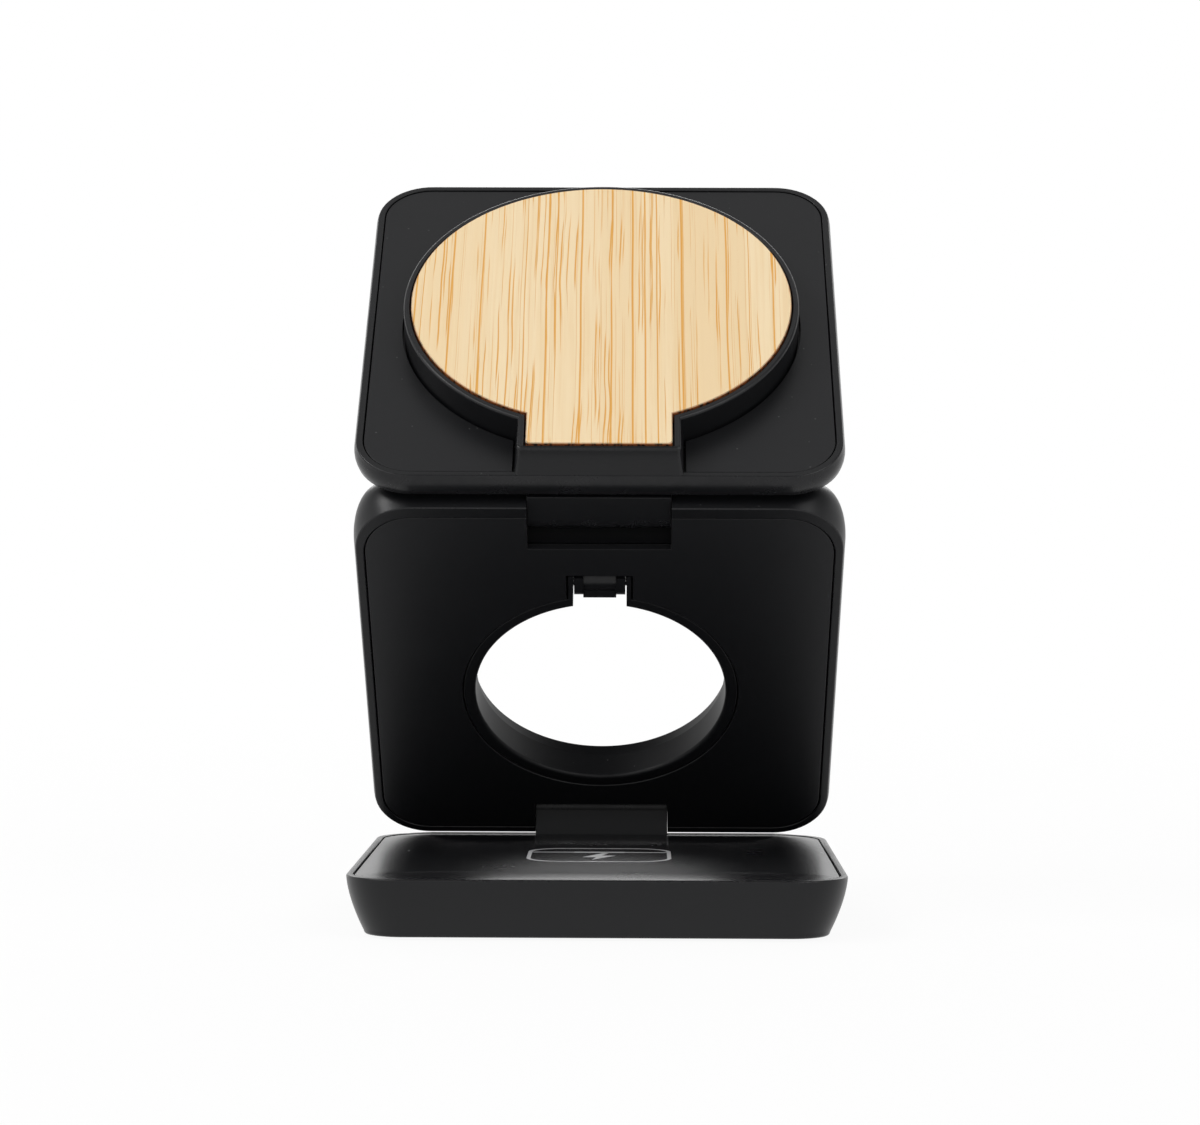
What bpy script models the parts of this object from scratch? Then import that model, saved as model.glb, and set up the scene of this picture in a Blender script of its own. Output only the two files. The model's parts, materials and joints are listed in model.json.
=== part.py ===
"""Folding wireless charger: three square plates on two friction hinges, and a watch puck that swings out.

The base lies on the desk, the middle plate leans over it, and the top plate rises from the middle plate's
upper edge and carries the phone pad. Folded up, the plates lie on each other like a Z.
Lengths are metres, +Z is up, the front faces -Y, and the origin is the centre of the foot pad's underside.
Each plate is modelled flat in a frame of its own whose X axis is its hinge, so that the frames pose it.
"""

import math

import bmesh
import bpy
from mathutils import Vector

# What the three plates share
plate_side = 0.075
plate_corner = 0.0088
corner_steps = 6
wall = 0.0013
rim_width = 0.0011
edge_round = 0.0003
panel_thick = 0.0012
panel_gap = 0.0003
panel_drop = 0.00015
ledge_width = 0.0013
seat_gap = 0.0003
fold_gap = 0.0003
overrun = 0.002
round_steps = 3
small_corner_steps = 3
foot_corner_steps = 5
sharp_edge_deg = 32.0

# How far the plates and the puck are opened
middle_open_deg = 46.0
top_open_deg = 87.5
watch_open_deg = 46.0

# Base
base_thick = 0.0093
foot_proud = 0.0004
foot_side_share = 0.8
foot_thick = 0.0011
foot_corner = 0.008
floor_thick = 0.0013
base_tuck = 0.0029
base_tuck_power = 1.6
base_side_rings = 7
base_bottom_round = 0.0005

# Middle plate
middle_thick = 0.009
middle_bulge = 0.00055
middle_waist_share = 0.3
middle_back_round = 0.0048
middle_back_rings = 6
middle_rim_lip = 0.00015
middle_top_rim = 0.0019

# Top plate and phone pad
top_thick = 0.0038
top_bulge = 0.0003
top_cover_thick = 0.0009
top_cover_margin = 0.0022
top_cover_corner = 0.0066
pad_radius_share = 0.42
pad_height = 0.0045
pad_wall = 0.001
pad_centre_share = 0.5
pad_edge_round = 0.0005
pad_floor = 0.0008
neck_width_share = 0.33333
neck_flare = 0.0004
neck_set_back = 0.0013
neck_wall = 0.0011
neck_front_wall = 0.0006
bamboo_thick = 0.002
bamboo_gap = 0.00025
bamboo_rise = 0.00025
disc_steps = 60

# Friction hinges between the plates
knuckle_radius = 0.0035
lug_width_share = 0.288
lug_side_gap = 0.0003
lower_axis_in = 0.0015
upper_axis_in = 0.0033
knuckle_clearance = 0.00185
pin_radius = 0.001
pin_grip = 0.0067
pin_clearance = 0.0002
cheek_thick = 0.0072
knuckle_wall = 0.0008
clip_clearance = 0.0003
clip_length_share = 0.44444
clip_slot = 0.0009
lug_root_depth = 0.003
lug_root_set_in = 0.0019
lug_steps = 12
knuckle_from_deg = -30.0
knuckle_to_deg = 190.0
bore_steps = 24
pin_steps = 20
clip_steps = 16

# Hole and notch for the watch puck
hole_low_margin = 0.00675
hole_to_axis = 0.0038
axis_to_hinge_room = 0.00875
hole_flare = 0.0019
hole_back_flare_share = 0.33333
hole_front_flare_share = 0.16667
hole_ring_wall = 0.0016
hole_steps = 56
collar_edge = 0.00195
collar_flange = 0.001
collar_drop = 0.0003
collar_wall = 0.0014
collar_depth = 0.005
notch_side_gap = 0.0003
notch_end_gap = 0.0013
notch_wall = 0.0007
relief_gap = 0.00015
relief_lift = 0.0043

# Watch puck
watch_axis_depth = 0.003
watch_pin_radius = 0.0007
ear_radius = 0.0026
ear_thick = 0.0014
ear_side_gap = 0.0002
arm_width = 0.005
barrel_radius = 0.0023
barrel_from_deg = 60.0
barrel_to_deg = 250.0
arm_low = 0.0022
arm_high = 0.0018
arm_lip = 0.0029
puck_gap = 0.00085
puck_low = 0.0015
puck_high = 0.0057
puck_round = 0.0012
puck_wall = 0.0011
puck_cover_margin = 0.00185
puck_cover_thick = 0.0011
puck_dish = 0.0004
puck_dish_shares = (0.9, 0.5)
puck_steps = 44

# Electronics
board_thick = 0.001
coil_thick = 0.0009
ferrite_thick = 0.0006
inner_gap = 0.0003
earbud_coil_outer_share = 0.29333
earbud_coil_inner_share = 0.12667
earbud_ferrite_share = 0.66667
base_board_width_share = 0.72
base_board_depth_share = 0.4
phone_coil_outer_share = 0.68254
phone_coil_inner_share = 0.32381
phone_board_share = 0.66667
magnet_outer_share = 0.88571
magnet_inner_share = 0.73651
magnet_count = 16
magnet_gap_share = 0.1
magnet_steps = 2
magnet_backing = 0.0003
watch_coil_outer_share = 0.66494
watch_coil_inner_share = 0.32208
watch_magnet_share = 0.23896
watch_ferrite_gap = 0.0005
coil_steps = 40
watch_coil_steps = 32
port_width = 0.00894
port_height = 0.00326
port_depth = 0.0073
port_shell = 0.0003
port_offset_share = 0.62667
port_steps = 6
port_tongue_width = 0.0067
port_tongue_thick = 0.0007
port_tongue_length = 0.0048
port_opening_gap = 0.0003
post_radius = 0.0022
post_hole_gap = 0.00025
screw_radius = 0.0007
screw_head_radius = 0.0014
screw_head_height = 0.0009
screw_length = 0.0026
screw_steps = 16
ribbon_width = 0.008
ribbon_corner_share = 0.125
ribbon_thick = 0.0004
watch_board_width_share = 0.28
watch_board_depth_share = 0.1

# Worked out from the sizes above
half_side = plate_side / 2
half_middle = middle_thick / 2
foot_side = plate_side * foot_side_share
pad_radius = plate_side * pad_radius_share
neck_width = plate_side * neck_width_share
lug_width = plate_side * lug_width_share
pin_length = lug_width + 2 * pin_grip
clip_radius = knuckle_radius - knuckle_wall - clip_clearance
clip_length = lug_width * clip_length_share
notch_half = lug_width / 2 + lug_side_gap
port_offset = half_side * port_offset_share
upper_axis_height = plate_side - upper_axis_in
hinge_reach = knuckle_radius + knuckle_clearance
watch_axis_height = upper_axis_height - hinge_reach - axis_to_hinge_room
hole_high = watch_axis_height - hole_to_axis
hole_low = lower_axis_in + hinge_reach + hole_low_margin
hole_radius = (hole_high - hole_low) / 2
hole_height = (hole_high + hole_low) / 2
collar_radius = hole_radius + collar_edge
relief_radius = hole_radius + relief_gap
puck_radius = hole_radius - puck_gap
puck_cover_radius = puck_radius - puck_cover_margin
ear_spread = arm_width + 2 * ear_side_gap
notch_width = ear_spread + 2 * ear_thick + 2 * notch_side_gap
notch_reach = watch_axis_height - hole_height + barrel_radius + notch_end_gap
earbud_coil_outer = plate_side * earbud_coil_outer_share
earbud_coil_inner = plate_side * earbud_coil_inner_share
earbud_ferrite_side = plate_side * earbud_ferrite_share
base_board_width = plate_side * base_board_width_share
base_board_depth = plate_side * base_board_depth_share
phone_coil_outer = pad_radius * phone_coil_outer_share
phone_coil_inner = pad_radius * phone_coil_inner_share
phone_board_radius = pad_radius * phone_board_share
magnet_outer = pad_radius * magnet_outer_share
magnet_inner = pad_radius * magnet_inner_share
watch_coil_outer = puck_radius * watch_coil_outer_share
watch_coil_inner = puck_radius * watch_coil_inner_share
watch_magnet_radius = puck_radius * watch_magnet_share
watch_ferrite_radius = puck_cover_radius - puck_wall - watch_ferrite_gap
watch_board_width = plate_side * watch_board_width_share
watch_board_depth = plate_side * watch_board_depth_share
lower_axis = Vector((0, half_side - lower_axis_in, base_thick + fold_gap + half_middle))
top_back = half_middle + fold_gap
top_face = top_back + top_thick
pad_top = top_face + pad_height
middle_low_edge = -lower_axis_in
middle_high_edge = plate_side - lower_axis_in
hole_centre = hole_height - lower_axis_in
top_low_edge = -upper_axis_in
top_high_edge = plate_side - upper_axis_in
pad_centre = plate_side * pad_centre_share - upper_axis_in


def clear_scene():
    """Removes whatever the file holds."""
    for thing in list(bpy.data.objects):
        bpy.data.objects.remove(thing, do_unlink=True)


def make_material(name, colour, roughness, metallic=0.0):
    """A plain finish with the sub-part's colour."""
    material = bpy.data.materials.new(name)
    material.use_nodes = True
    shader = material.node_tree.nodes["Principled BSDF"]
    shader.inputs["Base Color"].default_value = (*colour, 1.0)
    shader.inputs["Roughness"].default_value = roughness
    shader.inputs["Metallic"].default_value = metallic
    return material


def make_frame(name, parent, place, turn_deg):
    """An empty on a hinge axis, turned about X."""
    frame = bpy.data.objects.new(name, None)
    bpy.context.collection.objects.link(frame)
    frame.parent = parent
    frame.location = place
    frame.rotation_euler = (math.radians(turn_deg), 0, 0)
    return frame


def finish_mesh(name, shape):
    """Turns a bmesh into a mesh with its faces pointing out."""
    bmesh.ops.recalc_face_normals(shape, faces=shape.faces)
    mesh = bpy.data.meshes.new(name)
    shape.to_mesh(mesh)
    shape.free()
    mesh.shade_smooth()
    mesh.set_sharp_from_angle(angle=math.radians(sharp_edge_deg))
    return mesh


def add_piece(name, shape, frame, finish):
    """Adds one sub-part to the model, in its plate's frame."""
    piece = bpy.data.objects.new(name, finish_mesh(name, shape))
    bpy.context.collection.objects.link(piece)
    piece.parent = frame
    colour, roughness, metallic = finish
    piece.data.materials.append(make_material(name, colour, roughness, metallic))
    return piece


def add_tool(name, shape, frame):
    """Adds a cutter or a filler, which shows as wire and isn't part of the model."""
    tool = bpy.data.objects.new(name, finish_mesh(name, shape))
    bpy.context.collection.objects.link(tool)
    tool.parent = frame
    tool.hide_render = True
    tool.display_type = "WIRE"
    return tool


def combine(piece, tool, operation):
    """Adds an exact Boolean to a piece."""
    modifier = piece.modifiers.new(tool.name, "BOOLEAN")
    modifier.operation = operation
    modifier.solver = "EXACT"
    modifier.object = tool


def cut(piece, *tools):
    for tool in tools:
        combine(piece, tool, "DIFFERENCE")


def join(piece, *tools):
    for tool in tools:
        combine(piece, tool, "UNION")


def arc(centre_x, centre_y, radius, start_deg, end_deg, steps):
    """Points on an arc, both ends included."""
    points = []
    for i in range(steps + 1):
        angle = math.radians(start_deg + (end_deg - start_deg) * i / steps)
        points.append((centre_x + radius * math.cos(angle), centre_y + radius * math.sin(angle)))
    return points


def square_outline(half_x, low_y, high_y, corner, steps=corner_steps):
    """A rectangle with round corners, anticlockwise."""
    right = half_x - corner
    points = arc(right, low_y + corner, corner, -90, 0, steps)
    points += arc(right, high_y - corner, corner, 0, 90, steps)
    points += arc(-right, high_y - corner, corner, 90, 180, steps)
    points += arc(-right, low_y + corner, corner, 180, 270, steps)
    return points


def circle_outline(centre_y, radius, steps):
    return arc(0, centre_y, radius, 0, 360, steps)[:-1]


def at_height(points, z):
    return [Vector((x, y, z)) for x, y in points]


def bridge(shape, low, high):
    """Side faces between two loops of equally many vertices."""
    count = len(low)
    for i in range(count):
        j = (i + 1) % count
        shape.faces.new((low[i], low[j], high[j], high[i]))


def loft(rings):
    """A closed solid through a stack of rings."""
    shape = bmesh.new()
    loops = [[shape.verts.new(point) for point in ring] for ring in rings]
    for low, high in zip(loops, loops[1:]):
        bridge(shape, low, high)
    shape.faces.new(list(reversed(loops[0])))
    shape.faces.new(loops[-1])
    return shape


def tube(rings):
    """A ring-shaped solid: the last ring joins the first."""
    shape = bmesh.new()
    loops = [[shape.verts.new(point) for point in ring] for ring in rings]
    for low, high in zip(loops, loops[1:] + loops[:1]):
        bridge(shape, low, high)
    return shape


def prism(points, low, high):
    """An outline in X and Y, raised from one height to another."""
    return loft([at_height(points, low), at_height(points, high)])


def side_prism(points, low_x, high_x):
    """An outline in Y and Z, pulled out along X."""
    return loft([[Vector((x, y, z)) for y, z in points] for x in (low_x, high_x)])


def block(half_x, low_y, high_y, low_z, high_z, centre_x=0.0):
    points = [(centre_x - half_x, low_y), (centre_x + half_x, low_y)]
    points += [(centre_x + half_x, high_y), (centre_x - half_x, high_y)]
    return prism(points, low_z, high_z)


def drum(centre, radius, low, high, steps):
    """A cylinder along Z about a point in X and Y."""
    return prism(arc(centre[0], centre[1], radius, 0, 360, steps)[:-1], low, high)


def cross_rod(centre_y, centre_z, radius, half_length, steps):
    """A cylinder along X, centred on the plate's middle."""
    points = arc(centre_y, centre_z, radius, 0, 360, steps)[:-1]
    return side_prism(points, -half_length, half_length)


def plate_ring(low_edge, outset, z, extra_top=0.0):
    """The plate's outline at one height, grown or shrunk by outset all round."""
    high_edge = low_edge + plate_side
    corner = plate_corner + outset
    points = square_outline(half_side + outset, low_edge - outset, high_edge + outset - extra_top, corner)
    return at_height(points, z)


def rounded_top(radius):
    """Shrink and drop of a rounded edge, from its foot to its top."""
    steps = []
    for i in range(round_steps + 1):
        angle = math.radians(90 * i / round_steps)
        steps.append((radius * (1 - math.cos(angle)), radius * (1 - math.sin(angle))))
    return steps


def panel_rings(low_edge, face, inset, extra_top=0.0):
    """Rings of an inset panel with a rounded front edge, from its back to its face."""
    top = face - panel_drop
    rings = [plate_ring(low_edge, -inset, top - panel_thick, extra_top)]
    for shrink, drop in rounded_top(edge_round):
        rings.append(plate_ring(low_edge, -inset - shrink, top - drop, extra_top))
    return rings


def panel_pocket(low_edge, face, extra_top=0.0):
    """The space that a panel sits in, down to its ledge."""
    floor = face - panel_drop - panel_thick - seat_gap
    rings = [plate_ring(low_edge, -rim_width, z, extra_top) for z in (floor, face + overrun)]
    return loft(rings), floor


black_shell = ((0.012, 0.012, 0.013), 0.5, 0.0)
black_panel = ((0.014, 0.014, 0.015), 0.55, 0.0)
black_rubber = ((0.01, 0.01, 0.01), 0.8, 0.0)
bamboo = ((0.78, 0.6, 0.36), 0.6, 0.0)
copper = ((0.75, 0.36, 0.18), 0.35, 1.0)
ferrite = ((0.06, 0.06, 0.065), 0.6, 0.0)
board_green = ((0.02, 0.12, 0.06), 0.5, 0.0)
steel = ((0.62, 0.62, 0.62), 0.3, 1.0)
magnet = ((0.7, 0.7, 0.72), 0.25, 1.0)
cover_white = ((0.8, 0.8, 0.8), 0.35, 0.0)
ribbon_amber = ((0.5, 0.26, 0.05), 0.5, 0.0)


def base_inset(z):
    """How far the base's side wall lies inside the plate's outline at a height."""
    drop_share = (base_thick - z) / (base_thick - foot_proud)
    return base_tuck * drop_share ** base_tuck_power


# Heights in the base, from the floor up
base_cavity_floor = foot_thick + seat_gap + floor_thick
base_board_low = base_cavity_floor + 2 * inner_gap
base_board_high = base_board_low + board_thick
base_panel_low = base_thick - panel_drop - panel_thick
base_board_front = half_side - wall - base_tuck - base_board_depth
base_board_rear = base_board_front + base_board_depth
base_lug_low = base_board_high + 2 * inner_gap
lug_root_rear = half_side - lug_root_set_in
lug_root_front = lug_root_rear - lug_root_depth
port_axis_height = base_board_high + inner_gap + port_height / 2
port_rear = half_side - base_inset(port_axis_height) - inner_gap


def make_base_shell(frame):
    low_edge = -half_side
    foot_side_half = foot_side / 2 + inner_gap
    bottom = foot_proud
    rings = [plate_ring(low_edge, -base_inset(bottom) - base_bottom_round, bottom)]
    lowest = bottom + base_bottom_round
    for i in range(base_side_rings):
        z = lowest + (base_thick - edge_round - lowest) * i / (base_side_rings - 1)
        rings.append(plate_ring(low_edge, -base_inset(z), z))
    for shrink, drop in rounded_top(edge_round)[1:]:
        rings.append(plate_ring(low_edge, -shrink, base_thick - drop))
    shell = add_piece("base_shell", loft(rings), frame, black_shell)

    pocket, ledge = panel_pocket(low_edge, base_thick)
    low_inset = wall + base_inset(base_cavity_floor)
    high_inset = rim_width + ledge_width
    cavity = loft([
        plate_ring(low_edge, -low_inset, base_cavity_floor),
        plate_ring(low_edge, -high_inset, ledge - ledge_width),
        plate_ring(low_edge, -high_inset, ledge + overrun),
    ])
    cavity = add_tool("base_cavity", cavity, frame)
    for i, place in enumerate(base_screw_places()):
        post = drum(place, post_radius, base_cavity_floor - overrun, base_board_low - inner_gap, screw_steps)
        cut(cavity, add_tool(f"base_post_{i}", post, frame))
    cut(shell, add_tool("base_pocket", pocket, frame), cavity)

    foot_room = square_outline(foot_side_half, -foot_side_half, foot_side_half, foot_corner + inner_gap,
                               foot_corner_steps)
    port_room = port_outline(port_width / 2 + port_opening_gap, port_height / 2 + port_opening_gap)
    tools = {
        "foot_recess": prism(foot_room, -overrun, foot_thick + seat_gap),
        "lug_slot_base": block(notch_half, lug_root_front - seat_gap, lug_root_rear + seat_gap,
                               base_lug_low - seat_gap, base_thick + overrun),
        "port_hole": port_prism(port_room, half_side - plate_corner, half_side + overrun),
    }
    for name, shape in tools.items():
        cut(shell, add_tool(name, shape, frame))
    for i, place in enumerate(base_screw_places()):
        hole = drum(place, screw_radius + post_hole_gap, base_board_low - screw_length,
                    base_cavity_floor + post_radius * 2, screw_steps)
        cut(shell, add_tool(f"base_screw_hole_{i}", hole, frame))


def base_screw_places():
    """Where the board's four screws stand."""
    half_x = base_board_width / 2 - post_radius
    near = base_board_front + post_radius
    far = base_board_rear - post_radius - port_depth
    return [(x, y) for y in (near, far) for x in (-half_x, half_x)]


def port_outline(half_x, half_z):
    """The socket's flattened oval, in X and Z about its own axis."""
    radius = half_z
    points = arc(half_x - radius, 0, radius, -90, 90, port_steps)
    points += arc(-half_x + radius, 0, radius, 90, 270, port_steps)
    return [(port_offset + x, port_axis_height + z) for x, z in points]


def port_prism(points, front, rear):
    return loft([[Vector((x, y, z)) for x, z in points] for y in (front, rear)])


def make_port(frame):
    front = port_rear - port_depth
    outer = port_outline(port_width / 2, port_height / 2)
    inner = port_outline(port_width / 2 - port_shell, port_height / 2 - port_shell)
    socket = add_piece("usb_c_socket", port_prism(outer, front, port_rear), frame, steel)
    hollow = add_tool("port_hollow", port_prism(inner, front + port_shell, port_rear + overrun), frame)
    tongue_low = port_axis_height - port_tongue_thick / 2
    tongue = block(port_tongue_width / 2, front, front + port_shell + port_tongue_length,
                   tongue_low, tongue_low + port_tongue_thick, port_offset)
    cut(hollow, add_tool("port_tongue", tongue, frame))
    cut(socket, hollow)


def make_base_inside(frame):
    points = square_outline(base_board_width / 2, base_board_front, base_board_rear - inner_gap, post_radius,
                            small_corner_steps)
    board = add_piece("main_board", prism(points, base_board_low, base_board_high), frame, board_green)
    head_low = base_board_high + inner_gap
    for i, place in enumerate(base_screw_places()):
        hole = drum(place, screw_radius + post_hole_gap, base_board_low - overrun, base_board_high + overrun,
                    screw_steps)
        cut(board, add_tool(f"board_hole_{i}", hole, frame))
        add_piece(f"board_screw_{i + 1}", screw_shape(place, head_low), frame, steel)
    coil_high = base_panel_low - inner_gap
    coil_low = coil_high - coil_thick
    coil = flat_ring(0, earbud_coil_outer, earbud_coil_inner, coil_low, coil_high)
    add_piece("earbud_coil", coil, frame, copper)
    sheet_high = coil_low - inner_gap
    half = earbud_ferrite_side / 2
    sheet = square_outline(half, -half, half, post_radius, small_corner_steps)
    sheet = add_piece("earbud_ferrite", prism(sheet, sheet_high - ferrite_thick, sheet_high), frame, ferrite)
    root_room = block(notch_half, lug_root_front - 2 * seat_gap, half_side, base_board_low, base_thick)
    cut(sheet, add_tool("ferrite_relief", root_room, frame))


def screw_shape(place, head_low):
    """A pan-head screw that points down."""
    profile = [(screw_radius, head_low - screw_length), (screw_radius, head_low),
               (screw_head_radius, head_low), (screw_head_radius, head_low + screw_head_height / 2),
               (screw_head_radius / 2, head_low + screw_head_height)]
    return loft([at_height(arc(place[0], place[1], radius, 0, 360, screw_steps)[:-1], z)
                 for radius, z in profile])


def flat_ring(centre_y, outer, inner, low, high, steps=coil_steps):
    """A flat coil's outer shape."""
    rings = [at_height(circle_outline(centre_y, radius, steps), z)
             for radius, z in ((inner, low), (outer, low), (outer, high), (inner, high))]
    return tube(rings)


def make_base_panel(frame):
    rings = panel_rings(-half_side, base_thick, rim_width + panel_gap)
    panel = add_piece("base_top_panel", loft(rings), frame, black_panel)
    notch = block(notch_half, lug_root_front - seat_gap, half_side + overrun,
                  base_panel_low - overrun, base_thick + overrun)
    cut(panel, add_tool("base_panel_notch", notch, frame))


def make_foot(frame):
    half = foot_side / 2
    low_half = half - edge_round
    bottom = square_outline(low_half, -low_half, low_half, foot_corner, foot_corner_steps)
    full = square_outline(half, -half, half, foot_corner, foot_corner_steps)
    rings = [at_height(bottom, 0), at_height(full, edge_round), at_height(full, foot_thick)]
    add_piece("foot_pad", loft(rings), frame, black_rubber)


def lug_bore(name, frame, centre_y, centre_z):
    """The bore through a knuckle that holds the friction clips."""
    rod = cross_rod(centre_y, centre_z, clip_radius + clip_clearance, lug_width, bore_steps)
    return add_tool(name, rod, frame)


def make_base_lug(frame):
    """The lug that carries the lower knuckle, rooted in the base."""
    y, z = lower_axis.y, lower_axis.z
    shoulder = base_thick + seat_gap
    front = lug_root_front
    rear = half_side - edge_round
    points = [(front, base_lug_low), (lug_root_rear, base_lug_low)]
    points += [(lug_root_rear, shoulder), (rear, shoulder)]
    points += arc(y, z, knuckle_radius, knuckle_from_deg, knuckle_to_deg, lug_steps)
    points += [(front, shoulder)]
    half = lug_width / 2
    lug = add_piece("base_hinge_lug", side_prism(points, -half, half), frame, black_shell)
    cut(lug, lug_bore("base_lug_bore", frame, y, z))


def make_clips(name, frame, centre_y, centre_z):
    """Two split spring sleeves that grip the hinge pin."""
    inner = pin_radius + pin_clearance
    half_gap_deg = math.degrees(clip_slot / 2 / clip_radius)
    outline = arc(centre_y, centre_z, clip_radius, half_gap_deg, 360 - half_gap_deg, clip_steps)
    outline += arc(centre_y, centre_z, inner, 360 - 2 * half_gap_deg, 2 * half_gap_deg, clip_steps)
    for side, middle in (("left", -lug_width / 4), ("right", lug_width / 4)):
        sleeve = side_prism(outline, middle - clip_length / 2, middle + clip_length / 2)
        add_piece(f"{name}_{side}", sleeve, frame, steel)


def make_pin(name, frame, centre_y):
    add_piece(name, cross_rod(centre_y, 0, pin_radius, pin_length / 2, pin_steps), frame, steel)


def middle_outset(z):
    """How far the middle plate's body stands outside its rim's outline at a height."""
    waist = half_middle * (1 - 2 * middle_waist_share)
    if z > waist:
        share = (z - waist) / (half_middle - waist)
        return middle_bulge - (middle_bulge - middle_rim_lip) * share ** 2
    rise = (waist - z) / (waist + half_middle)
    return middle_bulge - middle_back_round * (1 - math.sqrt(max(0.0, 1 - rise ** 2)))


def hinge_room(low_y, high_y):
    return block(notch_half, low_y, high_y, -middle_thick, middle_thick)


# Places in the middle plate's frame
lower_notch_high = hinge_reach
upper_notch_low = upper_axis_height - lower_axis_in - hinge_reach
upper_pin_y = upper_axis_height - lower_axis_in
watch_pin_y = watch_axis_height - lower_axis_in
watch_pin_z = half_middle - watch_axis_depth
middle_floor = -half_middle + wall
collar_top = half_middle - collar_drop
collar_low = collar_top - collar_depth
boss_top = collar_low - seat_gap
notch_top = hole_centre + notch_reach
hole_boss_radius = hole_radius + hole_flare + hole_ring_wall
middle_under_panel = half_middle - panel_drop - panel_thick - seat_gap


def hole_shape():
    """The hole through the middle plate, which flares towards the back."""
    stations = [(hole_flare + overrun, -half_middle - overrun), (hole_flare, -half_middle),
                (hole_flare * hole_back_flare_share, middle_floor),
                (hole_flare * hole_front_flare_share, half_middle)]
    return loft([at_height(circle_outline(hole_centre, hole_radius + out, hole_steps), z)
                 for out, z in stations])


def make_middle_shell(frame):
    rings = []
    waist = half_middle * (1 - 2 * middle_waist_share)
    for i in range(middle_back_rings + 1):
        angle = math.radians(90 * i / middle_back_rings)
        z = waist - (waist + half_middle) * math.cos(angle)
        rings.append(plate_ring(middle_low_edge, middle_outset(z), z))
    for share in (0.5, 1.0):
        z = waist + (half_middle - edge_round - waist) * share
        rings.append(plate_ring(middle_low_edge, middle_outset(z), z))
    for shrink, drop in rounded_top(edge_round + middle_rim_lip)[1:]:
        z = half_middle - min(drop, edge_round)
        rings.append(plate_ring(middle_low_edge, middle_rim_lip - shrink, z))
    shell = add_piece("middle_shell", loft(rings), frame, black_shell)

    pocket, ledge = panel_pocket(middle_low_edge, half_middle, middle_top_rim - rim_width)
    high_inset = rim_width + ledge_width
    low_inset = high_inset + middle_back_round / 2
    cavity = loft([
        plate_ring(middle_low_edge, -low_inset, middle_floor),
        plate_ring(middle_low_edge, -high_inset, middle_floor + middle_back_round / 2),
        plate_ring(middle_low_edge, -high_inset, ledge + overrun, middle_top_rim - rim_width),
    ])
    cavity = add_tool("middle_cavity", cavity, frame)
    cheek_half = notch_half + cheek_thick
    keep = {
        "lower_cheeks": block(cheek_half, middle_low_edge - overrun, lower_notch_high + wall,
                              -middle_thick, ledge),
        "upper_cheeks": block(cheek_half, upper_notch_low - wall, middle_high_edge + overrun,
                              -middle_thick, ledge),
        "hole_boss": drum((0, hole_centre), hole_boss_radius, -middle_thick, boss_top, hole_steps),
        "notch_boss": block(relief_radius / 2, hole_centre, notch_top + wall, -middle_thick, boss_top),
    }
    for name, shape in keep.items():
        cut(cavity, add_tool(name, shape, frame))

    pin_room = pin_radius + pin_clearance
    pin_bore_half = pin_length / 2 + seat_gap
    tools = {
        "middle_hole": hole_shape(),
        "middle_notch": block(notch_width / 2, hole_centre, notch_top, -middle_thick, middle_thick),
        "puck_relief": drum((0, hole_centre + relief_lift), relief_radius, -middle_thick, boss_top + seat_gap,
                            hole_steps),
        "lower_room": hinge_room(middle_low_edge - overrun, lower_notch_high),
        "upper_room": hinge_room(upper_notch_low, middle_high_edge + overrun),
        "lower_pin_bore": cross_rod(0, 0, pin_room, pin_bore_half, pin_steps),
        "upper_pin_bore": cross_rod(upper_pin_y, 0, pin_room, pin_bore_half, pin_steps),
    }
    cut(shell, add_tool("middle_pocket", pocket, frame), cavity)
    for name, shape in tools.items():
        cut(shell, add_tool(name, shape, frame))


def make_middle_panel(frame):
    inset = rim_width + panel_gap
    rings = panel_rings(middle_low_edge, half_middle, inset, middle_top_rim - rim_width)
    panel = add_piece("middle_front_panel", loft(rings), frame, black_panel)
    low = half_middle - panel_thick - overrun
    high = half_middle + overrun
    slot_half = notch_width / 2 + notch_wall + panel_gap
    tools = {
        "panel_hole": drum((0, hole_centre), collar_radius + panel_gap / 2, low, high, hole_steps),
        "panel_notch": block(slot_half, hole_centre, notch_top - notch_wall, low, high),
        "panel_lower_room": hinge_room(middle_low_edge - overrun, lower_notch_high),
        "panel_upper_room": hinge_room(upper_notch_low, middle_high_edge + overrun),
    }
    for name, shape in tools.items():
        cut(panel, add_tool(name, shape, frame))


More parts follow.
